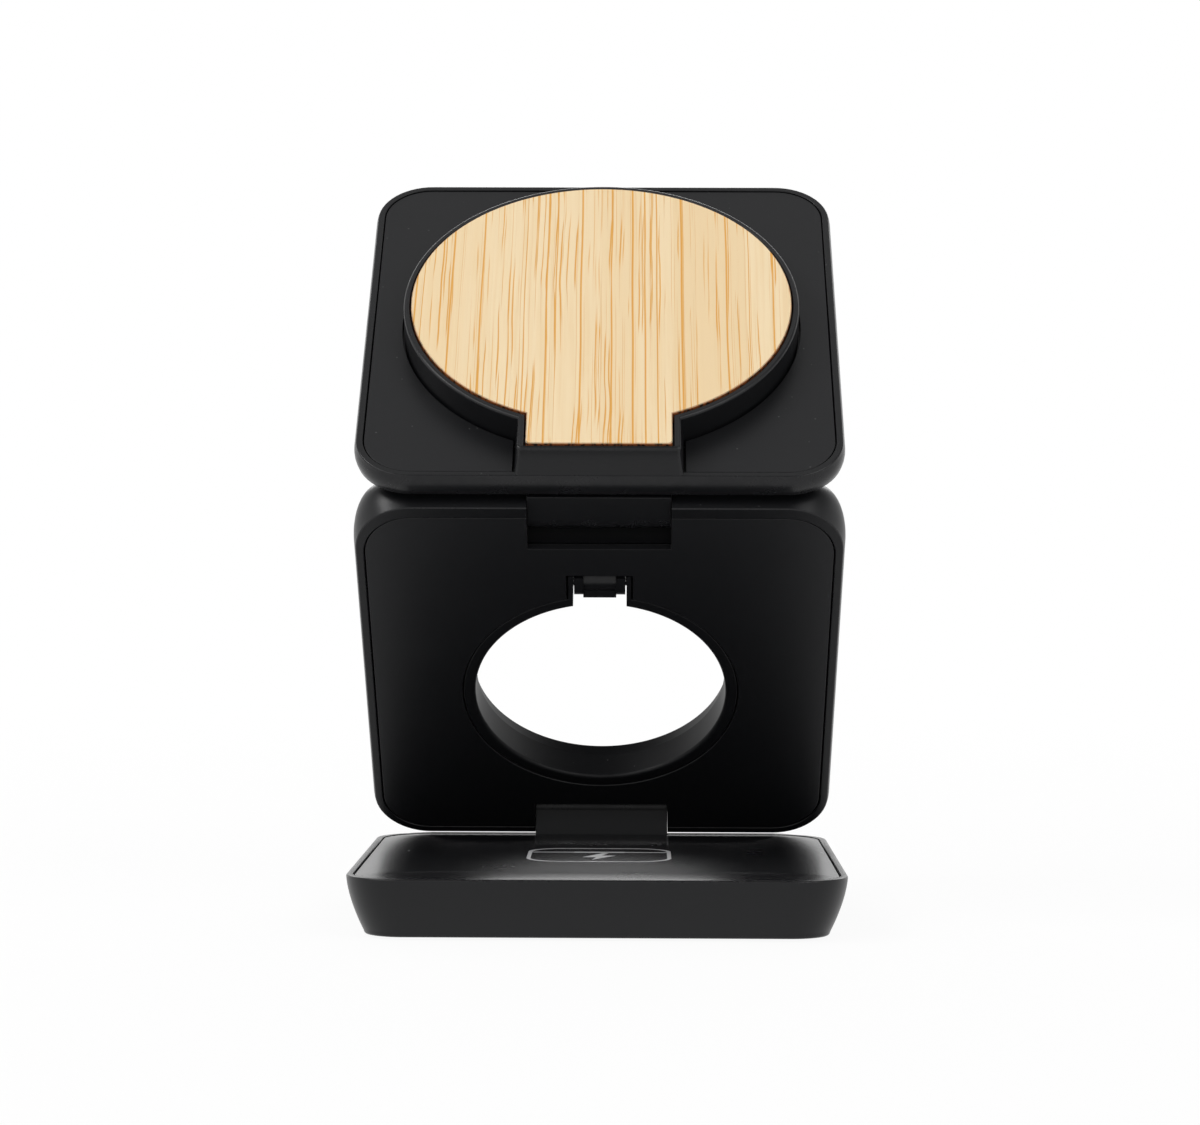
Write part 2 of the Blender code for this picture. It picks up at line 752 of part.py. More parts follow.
def make_collar(frame):
    """The ring that lines the hole, with the notch's walls and the ears for the puck's pin."""
    flange_low = collar_top - collar_flange
    sleeve = hole_radius + collar_wall
    section = [(hole_radius + seat_gap, collar_low), (sleeve, collar_low), (sleeve, flange_low),
               (collar_radius, flange_low), (collar_radius, collar_top - edge_round / 2),
               (collar_radius - edge_round / 2, collar_top), (hole_radius + edge_round, collar_top),
               (hole_radius, collar_top - edge_round)]
    rings = [at_height(circle_outline(hole_centre, radius, hole_steps), z) for radius, z in section]
    collar = add_piece("hole_collar", tube(rings), frame, black_shell)
    slot_half = notch_width / 2
    liner = block(slot_half + notch_wall, hole_centre + hole_radius - collar_wall, notch_top + notch_wall,
                  collar_low, middle_under_panel)
    inner = block(slot_half, hole_centre, notch_top, collar_low - overrun, collar_top + overrun)
    lip = block(slot_half + notch_wall, hole_centre + hole_radius, notch_top - notch_wall - panel_gap,
                middle_under_panel - seat_gap, collar_top)
    bore = drum((0, hole_centre), hole_radius, collar_low - overrun, collar_top + overrun, hole_steps)
    join(collar, add_tool("notch_liner", liner, frame), add_tool("notch_lip", lip, frame))
    cut(collar, add_tool("collar_bore", bore, frame), add_tool("notch_inner", inner, frame))
    ear_points = ear_outline()
    for side in (-1, 1):
        near = side * ear_spread / 2
        far = side * (ear_spread / 2 + ear_thick)
        ear = side_prism(ear_points, min(near, far), max(near, far))
        join(collar, add_tool(f"ear_{side + 1}", ear, frame))
    bore_half = notch_width / 2 + notch_wall + overrun
    bore = cross_rod(watch_pin_y, watch_pin_z, watch_pin_radius + pin_clearance, bore_half, screw_steps)
    cut(collar, add_tool("ear_bore", bore, frame))


def ear_outline():
    """An ear's side view: a round end about the pin and a root in the notch's upper wall."""
    root = notch_top + notch_wall / 2
    shoulder = notch_top - notch_wall - 2 * panel_gap
    points = arc(watch_pin_y, watch_pin_z, ear_radius, 90, 270, lug_steps)
    points += [(shoulder, collar_low), (root, collar_low), (root, middle_under_panel)]
    points += [(shoulder, middle_under_panel)]
    return points + [(shoulder, watch_pin_z + ear_radius)]


def make_middle_inside(frame):
    low = middle_floor + inner_gap
    edge = hole_boss_radius
    left = half_side - rim_width - ledge_width - middle_back_round / 2
    corner = ribbon_width * ribbon_corner_share
    strip = square_outline(ribbon_width / 2, lower_notch_high, upper_notch_low, corner, small_corner_steps)
    centre = (edge + left) / 2 + inner_gap
    strip = [(x + centre, y) for x, y in strip]
    add_piece("power_ribbon", prism(strip, low, low + ribbon_thick), frame, ribbon_amber)
    board_high = upper_notch_low - wall - inner_gap
    board = square_outline(watch_board_width / 2, board_high - watch_board_depth, board_high, corner,
                           small_corner_steps)
    board = [(x - left + watch_board_width / 2 + inner_gap, y) for x, y in board]
    add_piece("watch_board", prism(board, low, low + board_thick), frame, board_green)


def make_top_shell(frame):
    mid = (top_back + top_face) / 2
    rings = [plate_ring(top_low_edge, -edge_round, top_back)]
    rings.append(plate_ring(top_low_edge, 0, top_back + edge_round))
    rings.append(plate_ring(top_low_edge, top_bulge, mid))
    rings.append(plate_ring(top_low_edge, 0, top_face - edge_round))
    for shrink, drop in rounded_top(edge_round)[1:]:
        rings.append(plate_ring(top_low_edge, -shrink, top_face - drop))
    shell = add_piece("top_shell", loft(rings), frame, black_shell)
    pocket, ledge = panel_pocket(top_low_edge, top_face)
    cut(shell, add_tool("top_pocket", pocket, frame))

    wall_rings = [at_height(circle_outline(pad_centre, pad_radius, disc_steps), ledge - overrun / 4)]
    for shrink, drop in rounded_top(pad_edge_round):
        rim = circle_outline(pad_centre, pad_radius - shrink, disc_steps)
        wall_rings.append(at_height(rim, pad_top - drop))
    join(shell, add_tool("pad_body", loft(wall_rings), frame), add_tool("neck_body", neck_shape(), frame))

    pad_pocket_floor = pad_top + bamboo_rise - bamboo_thick - seat_gap
    room = pad_radius - pad_wall
    tools = {
        "bamboo_seat": drum((0, pad_centre), room, pad_pocket_floor, pad_top + overrun, disc_steps),
        "bamboo_seat_neck": neck_room(pad_pocket_floor, pad_top + overrun),
        "coil_room": drum((0, pad_centre), room - pad_wall, top_back - overrun, pad_pocket_floor - pad_floor,
                          disc_steps),
        "neck_hollow": block(lug_width / 2 + seat_gap, top_low_edge + 2 * neck_set_back, pad_centre,
                             top_back - overrun, pad_pocket_floor - pad_floor),
        "top_cover_room": cover_shape(-panel_gap, top_back - overrun, top_back + top_cover_thick + seat_gap),
    }
    for name, shape in tools.items():
        cut(shell, add_tool(name, shape, frame))


def neck_shape():
    """The neck between the pad and the plate's near edge, whose front face slopes and flares downwards."""
    low_half = neck_width / 2 + neck_flare
    high_half = neck_width / 2
    rings = []
    floor = top_face - panel_drop - panel_thick - seat_gap - overrun / 4
    stations = [(low_half, top_low_edge + edge_round, floor),
                (low_half, top_low_edge + edge_round / 2, top_face - edge_round)]
    for shrink, drop in rounded_top(pad_edge_round):
        stations.append((high_half - shrink, top_low_edge + neck_set_back + shrink, pad_top - drop))
    for half, front, z in stations:
        points = [(-half, front), (half, front), (half, pad_centre), (-half, pad_centre)]
        rings.append(at_height(points, z))
    return loft(rings)


def neck_room(low, high):
    half = neck_width / 2 - neck_wall
    return block(half, top_low_edge + neck_set_back + neck_front_wall, pad_centre, low, high)


def cover_shape(inset, low, high):
    low_y = top_low_edge + top_cover_margin + inset
    high_y = top_high_edge - top_cover_margin - inset
    half = half_side - top_cover_margin - inset
    points = square_outline(half, low_y, high_y, top_cover_corner - inset, foot_corner_steps)
    return prism(points, low, high)


def make_top_cover(frame):
    shape = cover_shape(0, top_back, top_back + top_cover_thick)
    cover = add_piece("top_back_cover", shape, frame, black_shell)
    slot = block(lug_width / 2 + seat_gap, -knuckle_radius, top_lug_rear + seat_gap, top_back - overrun,
                 top_back + overrun)
    cut(cover, add_tool("cover_slot", slot, frame))


def make_top_panel(frame):
    rings = panel_rings(top_low_edge, top_face, rim_width + panel_gap)
    panel = add_piece("top_front_panel", loft(rings), frame, black_panel)
    low = top_face - panel_thick - overrun
    high = top_face + overrun
    hole = drum((0, pad_centre), pad_radius + panel_gap, low, high, disc_steps)
    neck = block(neck_width / 2 + neck_flare + panel_gap, top_low_edge - overrun, pad_centre, low, high)
    cut(panel, add_tool("panel_pad_hole", hole, frame), add_tool("panel_neck", neck, frame))


def make_bamboo(frame):
    high = pad_top + bamboo_rise
    low = high - bamboo_thick
    radius = pad_radius - pad_wall - bamboo_gap
    rings = [at_height(circle_outline(pad_centre, radius, disc_steps), low)]
    for shrink, drop in rounded_top(edge_round):
        rings.append(at_height(circle_outline(pad_centre, radius - shrink, disc_steps), high - drop))
    inlay = add_piece("bamboo_inlay", loft(rings), frame, bamboo)
    half = neck_width / 2 - neck_wall - bamboo_gap
    front = top_low_edge + neck_set_back + neck_front_wall + bamboo_gap
    tab_rings = []
    stations = [(0, low)] + [(shrink, high - drop) for shrink, drop in rounded_top(edge_round)]
    for shrink, z in stations:
        points = [(shrink - half, front + shrink), (half - shrink, front + shrink)]
        points += [(half - shrink, pad_centre), (shrink - half, pad_centre)]
        tab_rings.append(at_height(points, z))
    join(inlay, add_tool("bamboo_tab", loft(tab_rings), frame))


# Heights in the phone pad, from the bamboo's seat down
pad_ceiling = pad_top + bamboo_rise - bamboo_thick - seat_gap - pad_floor
phone_coil_high = pad_ceiling - inner_gap
phone_coil_low = phone_coil_high - coil_thick
phone_ferrite_high = phone_coil_low - inner_gap
phone_ferrite_low = phone_ferrite_high - ferrite_thick
phone_board_high = phone_ferrite_low - inner_gap
phone_board_low = phone_board_high - board_thick
top_lug_front = top_low_edge + 2 * neck_set_back + inner_gap
top_lug_rear = top_lug_front + lug_root_depth + neck_set_back
top_lug_high = phone_board_high


def make_phone_charger(frame):
    y = pad_centre
    coil = flat_ring(y, phone_coil_outer, phone_coil_inner, phone_coil_low, phone_coil_high)
    add_piece("phone_coil", coil, frame, copper)
    sheet = drum((0, y), phone_coil_outer + inner_gap, phone_ferrite_low, phone_ferrite_high, coil_steps)
    add_piece("phone_ferrite", sheet, frame, ferrite)
    board = drum((0, y), phone_board_radius, phone_board_low, phone_board_high, coil_steps)
    add_piece("phone_board", board, frame, board_green)
    add_piece("phone_magnet_ring", magnet_ring(y, phone_coil_low, phone_coil_high), frame, magnet)


def magnet_ring(centre_y, low, high):
    """Magnets in a ring on a thin backing, drawn as one outline whose height steps down between magnets."""
    shape = bmesh.new()
    sections = []
    pitch = 360 / magnet_count
    for i in range(magnet_count):
        block_end = 1 - magnet_gap_share
        spans = ((magnet_gap_share, block_end, high, magnet_steps),
                 (block_end, 1 + magnet_gap_share, low + magnet_backing, 1))
        for start_share, end_share, top, steps in spans:
            start = pitch * (i + start_share)
            end = pitch * (i + end_share)
            for inner, outer in zip(arc(0, centre_y, magnet_inner, start, end, steps),
                                    arc(0, centre_y, magnet_outer, start, end, steps)):
                corners = [(*inner, low), (*outer, low), (*outer, top), (*inner, top)]
                sections.append(corners)
    loops = [[shape.verts.new(corner) for corner in corners] for corners in sections]
    for near, far in zip(loops, loops[1:] + loops[:1]):
        bridge(shape, near, far)
    bmesh.ops.remove_doubles(shape, verts=shape.verts, dist=inner_gap / 100)
    return shape


def make_top_lug(frame):
    """The arm and knuckle that hang from the top plate into the middle plate's upper notch."""
    half = lug_width / 2
    points = arc(0, 0, knuckle_radius, 180, 360, lug_steps)
    shoulder = top_back - seat_gap
    points += [(knuckle_radius, shoulder), (top_lug_rear, shoulder), (top_lug_rear, top_lug_high),
               (top_lug_front, top_lug_high), (top_lug_front, shoulder), (-knuckle_radius, shoulder)]
    lug = add_piece("top_hinge_lug", side_prism(points, -half, half), frame, black_shell)
    cut(lug, lug_bore("top_lug_bore", frame, 0, 0))


# Places in the puck's frame
puck_centre = watch_axis_height - hole_height
puck_cover_low = puck_high - puck_cover_thick
puck_floor = puck_wall - puck_low


def make_puck(frame):
    rings = []
    for shrink, drop in reversed(rounded_top(puck_round)):
        low_rim = circle_outline(puck_centre, puck_radius - shrink, puck_steps)
        rings.append(at_height(low_rim, drop - puck_low))
    for shrink, drop in rounded_top(puck_round / 2):
        high_rim = circle_outline(puck_centre, puck_radius - shrink, puck_steps)
        rings.append(at_height(high_rim, puck_high - drop))
    shell = add_piece("watch_puck_shell", loft(rings), frame, black_shell)
    near_edge = puck_centre - puck_radius
    root = near_edge + puck_wall * 2
    arm = arc(0, 0, barrel_radius, barrel_from_deg, barrel_to_deg, lug_steps)
    arm += [(0, -arm_lip), (barrel_radius, edge_round - arm_lip), (barrel_radius, -arm_low)]
    arm += [(near_edge, -puck_low), (root, edge_round - puck_low)]
    arm += [(root, arm_high), (barrel_radius, arm_high)]
    join(shell, add_tool("watch_arm", side_prism(arm, -arm_width / 2, arm_width / 2), frame))
    tools = {
        "cover_seat": drum((0, puck_centre), puck_cover_radius + panel_gap, puck_cover_low - seat_gap,
                           puck_high + overrun, puck_steps),
        "puck_room": drum((0, puck_centre), puck_cover_radius - puck_wall, puck_floor, puck_high, puck_steps),
        "barrel_bore": cross_rod(0, 0, watch_pin_radius + pin_clearance, arm_width, screw_steps),
    }
    for name, shape in tools.items():
        cut(shell, add_tool(name, shape, frame))
    cover_rings = [at_height(circle_outline(puck_centre, puck_cover_radius, puck_steps), puck_cover_low)]
    for shrink, drop in rounded_top(edge_round):
        cover_rings.append(at_height(circle_outline(puck_centre, puck_cover_radius - shrink, puck_steps),
                                     puck_high - drop))
    for share in puck_dish_shares:
        dip = puck_dish * math.sqrt(1 - share ** 2)
        cover_rings.append(at_height(circle_outline(puck_centre, puck_cover_radius * share, puck_steps),
                                     puck_high - dip))
    add_piece("watch_puck_cover", loft(cover_rings), frame, cover_white)


def make_puck_inside(frame):
    coil_high = puck_cover_low - inner_gap
    coil_low = coil_high - coil_thick
    sheet_high = coil_low - inner_gap
    y = puck_centre
    coil = flat_ring(y, watch_coil_outer, watch_coil_inner, coil_low, coil_high, watch_coil_steps)
    add_piece("watch_coil", coil, frame, copper)
    core = drum((0, y), watch_magnet_radius, coil_low, coil_high, bore_steps)
    add_piece("watch_magnet", core, frame, magnet)
    sheet = drum((0, y), watch_ferrite_radius, sheet_high - ferrite_thick, sheet_high, watch_coil_steps)
    add_piece("watch_ferrite", sheet, frame, ferrite)


def main():
    clear_scene()
    base_frame = make_frame("base_frame", None, (0, 0, 0), 0)
    middle_frame = make_frame("middle_frame", None, lower_axis, 180 - middle_open_deg)
    top_frame = make_frame("top_frame", middle_frame, (0, upper_pin_y, 0), top_open_deg - 180)
    watch_frame = make_frame("watch_frame", middle_frame, (0, watch_pin_y, watch_pin_z), watch_open_deg - 180)

    make_base_shell(base_frame)
    make_base_panel(base_frame)
    make_foot(base_frame)
    make_base_inside(base_frame)
    make_port(base_frame)
    make_base_lug(base_frame)
    make_clips("lower_friction_clip", base_frame, lower_axis.y, lower_axis.z)

    make_middle_shell(middle_frame)
    make_middle_panel(middle_frame)
    make_collar(middle_frame)
    make_middle_inside(middle_frame)
    make_pin("lower_hinge_pin", middle_frame, 0)
    make_pin("upper_hinge_pin", middle_frame, upper_pin_y)
    pin_half = ear_spread / 2 + ear_thick
    watch_pin = cross_rod(watch_pin_y, watch_pin_z, watch_pin_radius, pin_half, screw_steps)
    add_piece("watch_hinge_pin", watch_pin, middle_frame, steel)

    make_top_shell(top_frame)
    make_top_cover(top_frame)
    make_top_panel(top_frame)
    make_bamboo(top_frame)
    make_phone_charger(top_frame)
    make_top_lug(top_frame)
    make_clips("upper_friction_clip", top_frame, 0, 0)

    make_puck(watch_frame)
    make_puck_inside(watch_frame)


main()
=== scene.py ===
"""Dresses the folding wireless charger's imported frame: housings, panels, bamboo pad, hinges, puck and studio.

Every piece is built flat in the frame of its own plate, in metres, and then laid where that plate stands.
The sizes repeat the CAD model's, with more steps in the curves and softened edges.
"""

import json
import math

import bmesh
import bpy
from mathutils import Matrix, Vector


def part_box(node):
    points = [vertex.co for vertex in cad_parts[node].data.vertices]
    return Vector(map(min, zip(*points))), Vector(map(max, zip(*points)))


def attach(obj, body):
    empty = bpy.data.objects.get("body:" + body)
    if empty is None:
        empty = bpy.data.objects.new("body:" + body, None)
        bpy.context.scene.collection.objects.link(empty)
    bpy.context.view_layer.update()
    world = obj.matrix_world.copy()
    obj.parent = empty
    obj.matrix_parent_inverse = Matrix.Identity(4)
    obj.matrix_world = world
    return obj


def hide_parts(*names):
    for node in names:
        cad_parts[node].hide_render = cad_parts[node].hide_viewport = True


bl_info = {
    "name": "Folding Wireless Charger",
    "version": (1, 0, 0),
    "blender": (4, 5, 0),
    "location": "View3D > Sidebar > Charger",
    "description": "Builds the detailed pieces and finishes of a folding three-plate wireless charger",
    "category": "Add Mesh",
}

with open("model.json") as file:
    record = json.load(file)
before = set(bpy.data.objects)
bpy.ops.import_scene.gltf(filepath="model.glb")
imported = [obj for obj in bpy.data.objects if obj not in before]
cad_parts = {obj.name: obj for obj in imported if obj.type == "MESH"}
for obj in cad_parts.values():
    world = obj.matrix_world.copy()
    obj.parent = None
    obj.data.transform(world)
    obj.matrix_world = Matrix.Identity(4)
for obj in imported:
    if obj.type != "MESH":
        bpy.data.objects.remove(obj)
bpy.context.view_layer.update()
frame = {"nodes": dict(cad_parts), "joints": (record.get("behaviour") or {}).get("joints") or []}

CORNER_STEPS = 14
ROUND_STEPS = 5
DISC_STEPS = 168
ROD_STEPS = 48
SHARP_DEG = 30.0
BEVEL_FROM_DEG = 40.0
# How far a cutter reaches past the face that it opens.
OVERRUN = 0.002
# A face narrower than this counts as a strip along an edge.
NARROW_FACE = 0.00034


def length(name, default, description):
    """A size in metres that a user may change."""
    return bpy.props.FloatProperty(
        name=name, default=default, description=description, min=0.0, precision=5, subtype="DISTANCE",
        unit="LENGTH")


def turn(name, default, description):
    """An angle that a user may change, given in degrees."""
    return bpy.props.FloatProperty(
        name=name, default=math.radians(default), description=description, subtype="ANGLE", unit="ROTATION")


def share(name, default, description):
    """A share between nought and one."""
    return bpy.props.FloatProperty(
        name=name, default=default, description=description, min=0.0, max=1.0, subtype="FACTOR")


def colour(name, default, description):
    """A linear colour."""
    return bpy.props.FloatVectorProperty(
        name=name, default=default, description=description, size=3, min=0.0, max=1.0, subtype="COLOR")


class ChargerPlateSizes(bpy.types.PropertyGroup):
    """What the three plates share, and what is each plate's own."""

    side: length("Plate Side", 0.075, "Side of each square plate")
    corner: length("Corner Radius", 0.0088, "Radius of the plates' corners, seen from the front")
    rim_width: length("Rim Width", 0.0011, "Width of the rim round a panel")
    middle_top_rim: length("Middle Top Rim", 0.0019, "Width of the middle plate's rim along its upper edge")
    edge_round: length("Edge Rounding", 0.0003, "Rounding of the plates' front edges")
    panel_thick: length("Panel Thickness", 0.0012, "Thickness of the front panels")
    panel_gap: length("Panel Gap", 0.0003, "Width of the room round a panel")
    panel_play: length("Panel Play", 0.00016, "What shows of that room as a groove")
    panel_drop: length("Panel Drop", 0.00015, "How far a panel lies below its rim")
    ledge_width: length("Ledge Width", 0.0013, "Width of the ledge that carries a panel")
    seat_gap: length("Seat Gap", 0.0003, "Clearance under a seated piece")
    wall: length("Wall Thickness", 0.0013, "Thickness of the moulded walls")
    middle_open: turn("Middle Opening", 46.0, "How far the middle plate is folded up from the base")
    top_open: turn("Top Opening", 87.5, "How far the top plate is folded up from the middle plate")
    watch_open: turn("Puck Opening", 46.0, "How far the watch puck is swung out of the middle plate")
    base_thick: length("Base Height", 0.0093, "Height of the base's rim above the desk")
    foot_proud: length("Foot Stand-off", 0.0004, "How far the foot pad stands below the base")
    foot_thick: length("Foot Thickness", 0.0011, "Thickness of the rubber foot pad")
    foot_side: length("Foot Side", 0.06, "Side of the rubber foot pad")
    foot_corner: length("Foot Corner", 0.008, "Corner radius of the foot pad")
    base_tuck: length("Base Tuck", 0.0029, "How far the base's side draws in towards the desk")
    base_bottom_round: length("Base Bottom Rounding", 0.0005, "Rounding of the base's bottom edge")
    middle_thick: length("Middle Thickness", 0.009, "Thickness of the middle plate")
    middle_bulge: length("Middle Bulge", 0.00055, "How far the middle plate's sides swell")
    middle_back_round: length(
        "Middle Back Rounding", 0.0048, "How far the middle plate's sides draw in at the back")
    corner_squared: share(
        "Corner Squaring", 0.62, "How much smaller the middle plate's corner radius is at the back")
    middle_rim_lip: length("Middle Rim Lip", 0.00015, "How far the middle plate's front rim stands out")
    middle_edge: length("Middle Edge Rounding", 0.00015, "Rounding of the middle plate's front edge")
    deck_crown: length("Deck Crown", 0.00045, "How far the soft ridge on the base's panel rises")
    crown_width: length("Crown Width", 0.006, "Width of each side of that ridge")
    front_calm: share("Front Calm", 0.45, "How much lower the ridge is at the front")
    deck_tray: length("Deck Tray", 0.0001, "How far the tray inside that ridge lies above the panel's edge")
    rear_lip: length("Rear Lip", 0.00012, "How far the base's rim rises along its rear edge")
    rear_lip_slope: length("Rear Lip Slope", 0.00018, "Width of the slope in front of that rise")
    top_thick: length("Top Thickness", 0.0038, "Thickness of the top plate")
    top_bulge: length("Top Bulge", 0.0003, "How far the top plate's sides swell")


class ChargerPadSizes(bpy.types.PropertyGroup):
    """The phone pad on the top plate, with its neck and bamboo inlay, and the cover behind."""

    radius: length("Pad Radius", 0.0315, "Outer radius of the phone pad")
    height: length("Pad Height", 0.0045, "How far the pad stands above the top plate")
    pad_wall: length("Pad Wall", 0.001, "Thickness of the pad's wall round the inlay")
    edge_round: length("Pad Edge Rounding", 0.0005, "Rounding of the pad's upper edge")
    floor: length("Pad Floor", 0.0008, "Thickness of the floor under the inlay")
    neck_width: length("Neck Width", 0.025, "Width of the neck below the pad")
    neck_flare: length("Neck Flare", 0.0004, "How far the neck widens towards the plate")
    neck_set_back: length(
        "Neck Set-back", 0.0013, "How far the neck's upper edge lies behind the plate's edge")
    neck_wall: length("Neck Wall", 0.0011, "Thickness of the neck's side walls")
    front_wall: length("Neck Front Wall", 0.0006, "Thickness of the neck's front wall at its upper edge")
    inlay_thick: length("Inlay Thickness", 0.002, "Thickness of the bamboo inlay")
    inlay_gap: length("Inlay Gap", 0.00025, "Gap between the inlay and the pad's wall")
    inlay_rise: length("Inlay Rise", 0.00025, "How far the inlay stands above the pad's edge")
    cover_thick: length("Back Cover Thickness", 0.0009, "Thickness of the cover behind the top plate")
    cover_margin: length("Back Cover Margin", 0.0022, "Width of the top plate's border round its back cover")
    cover_corner: length("Back Cover Corner", 0.0066, "Corner radius of the back cover")


class ChargerHingeSizes(bpy.types.PropertyGroup):
    """The two friction hinges between the plates."""

    knuckle_radius: length("Knuckle Radius", 0.0035, "Radius of the hinge knuckles")
    knuckle_clearance: length("Knuckle Clearance", 0.00185, "Room between a knuckle and its notch")
    lug_width: length("Lug Width", 0.0216, "Width of the hinge lugs")
    side_gap: length("Lug Side Gap", 0.0003, "Gap on each side of a lug")
    side_play: length("Knuckle Play", 0.00005, "What shows of that gap once the knuckle has its moulded skin")
    lower_axis_in: length(
        "Lower Axis Inset", 0.0015, "From the middle plate's lower edge to the lower hinge axis")
    upper_axis_in: length(
        "Upper Axis Inset", 0.0033, "From the middle plate's upper edge to the upper hinge axis")
    root_depth: length("Lug Root Depth", 0.003, "Depth of the lugs' roots")
    root_set_in: length("Lug Root Inset", 0.0019, "From the base's rear edge to the lower lug's root")
    bore_radius: length("Bore Radius", 0.0027, "Radius of the bore that holds the friction clips")
    pin_radius: length("Pin Bore Radius", 0.0012, "Radius of the bores for the hinge pins")
    pin_half: length("Pin Bore Half Length", 0.0178, "Half the length of the bores for the hinge pins")
    lug_sink: length("Lug Sink", 0.0024, "From the pad's ceiling down to the upper lug's root")
    cheek_thick: length("Cheek Thickness", 0.0072, "Thickness of the cheeks beside a hinge notch")


class ChargerWatchSizes(bpy.types.PropertyGroup):
    """The hole through the middle plate, the ring that lines it, and the watch puck."""

    hole_height: length("Hole Height", 0.0337, "From the middle plate's lower edge to the hole's centre")
    hole_radius: length("Hole Radius", 0.0201, "Radius of the hole at the front")
    hole_flare: length("Hole Flare", 0.0019, "How far the hole widens towards the back")
    boss_wall: length("Hole Boss Wall", 0.0016, "Thickness of the wall round the hole")
    collar_radius: length("Ring Radius", 0.02205, "Outer radius of the ring round the hole")
    collar_flange: length("Ring Flange", 0.001, "Thickness of the ring's flange")
    collar_drop: length("Ring Drop", 0.0003, "How far the ring lies below the rim")
    ring_lip: length("Ring Lip", 0.0006, "Rounding of the ring's inner edge")
    collar_wall: length("Ring Wall", 0.0014, "Thickness of the ring's sleeve")
    collar_depth: length("Ring Depth", 0.005, "Depth of the ring's sleeve")
    notch_width: length("Notch Width", 0.0084, "Width of the notch above the hole")
    notch_wall: length("Notch Wall", 0.0007, "Thickness of the notch's liner")
    notch_reach: length("Notch Reach", 0.0275, "From the hole's centre to the notch's upper end")
    relief_radius: length("Relief Radius", 0.02025, "Radius of the recess that lets the puck swing")
    relief_lift: length("Relief Lift", 0.0043, "How far the recess lies above the hole's centre")
    axis_height: length("Puck Axis Height", 0.0576, "From the middle plate's lower edge to the puck's pin")
    axis_depth: length("Puck Axis Depth", 0.003, "From the middle plate's face to the puck's pin")
    pin_radius: length("Puck Pin Bore", 0.0009, "Radius of the bore for the puck's pin")
    ear_radius: length("Ear Radius", 0.0028, "Radius of the two ears that hold the puck's pin")
    ear_thick: length("Ear Thickness", 0.0014, "Thickness of the ears")
    ear_spread: length("Ear Spread", 0.0052, "Space between the ears")
    arm_width: length("Arm Width", 0.00517, "Width of the puck's arm")
    barrel_radius: length("Barrel Radius", 0.0023, "Radius of the arm's hinge end")
    arm_low: length("Arm Underside", 0.0022, "From the pin to the arm's underside")
    arm_high: length("Arm Top", 0.0018, "From the pin to the arm's top")
    arm_lip: length("Arm Lip", 0.0033, "From the pin to the lip under the arm")
    puck_radius: length("Puck Radius", 0.01925, "Radius of the watch puck")
    puck_low: length("Puck Underside", 0.0015, "From the pin's height to the puck's underside")
    puck_high: length("Puck Top", 0.0057, "From the pin's height to the puck's rim")
    puck_round: length("Puck Rounding", 0.0012, "Rounding of the puck's lower edge")
    cover_radius: length("Puck Cover Radius", 0.0174, "Radius of the puck's charging face")
    cover_thick: length("Puck Cover Thickness", 0.0011, "Thickness of the puck's charging face")
    dish: length("Puck Dish", 0.0004, "Depth of the hollow in the charging face")


class ChargerSocketSizes(bpy.types.PropertyGroup):
    """The power socket in the base's rear, and the printed earbud mark on its panel."""

    width: length("Socket Width", 0.00894, "Outer width of the socket")
    height: length("Socket Height", 0.00326, "Outer height of the socket")
    depth: length("Socket Depth", 0.0073, "Length of the socket")
    shell: length("Socket Shell", 0.0003, "Thickness of the socket's steel")
    offset: length("Socket Offset", 0.0235, "From the base's middle to the socket's middle")
    room: length("Socket Room", 0.0003, "Gap round the socket in the base's rear wall")
    tongue_width: length("Tongue Width", 0.0067, "Width of the contact tongue")
    tongue_thick: length("Tongue Thickness", 0.0007, "Thickness of the contact tongue")
    tongue_length: length("Tongue Length", 0.0048, "Length of the contact tongue")
    mark_width: length("Mark Width", 0.0227, "Width of the printed case outline")
    mark_height: length("Mark Depth", 0.0214, "Depth of the printed case outline")
    mark_corner: length("Mark Corner", 0.0056, "Corner radius of the printed case outline")
    mark_line: length("Mark Line", 0.00062, "Width of the printed lines")
    mark_front: length("Mark Place", 0.0274, "From the base's front edge to the printed outline")
    mark_raise: length("Print Thickness", 0.00003, "Thickness of the print")


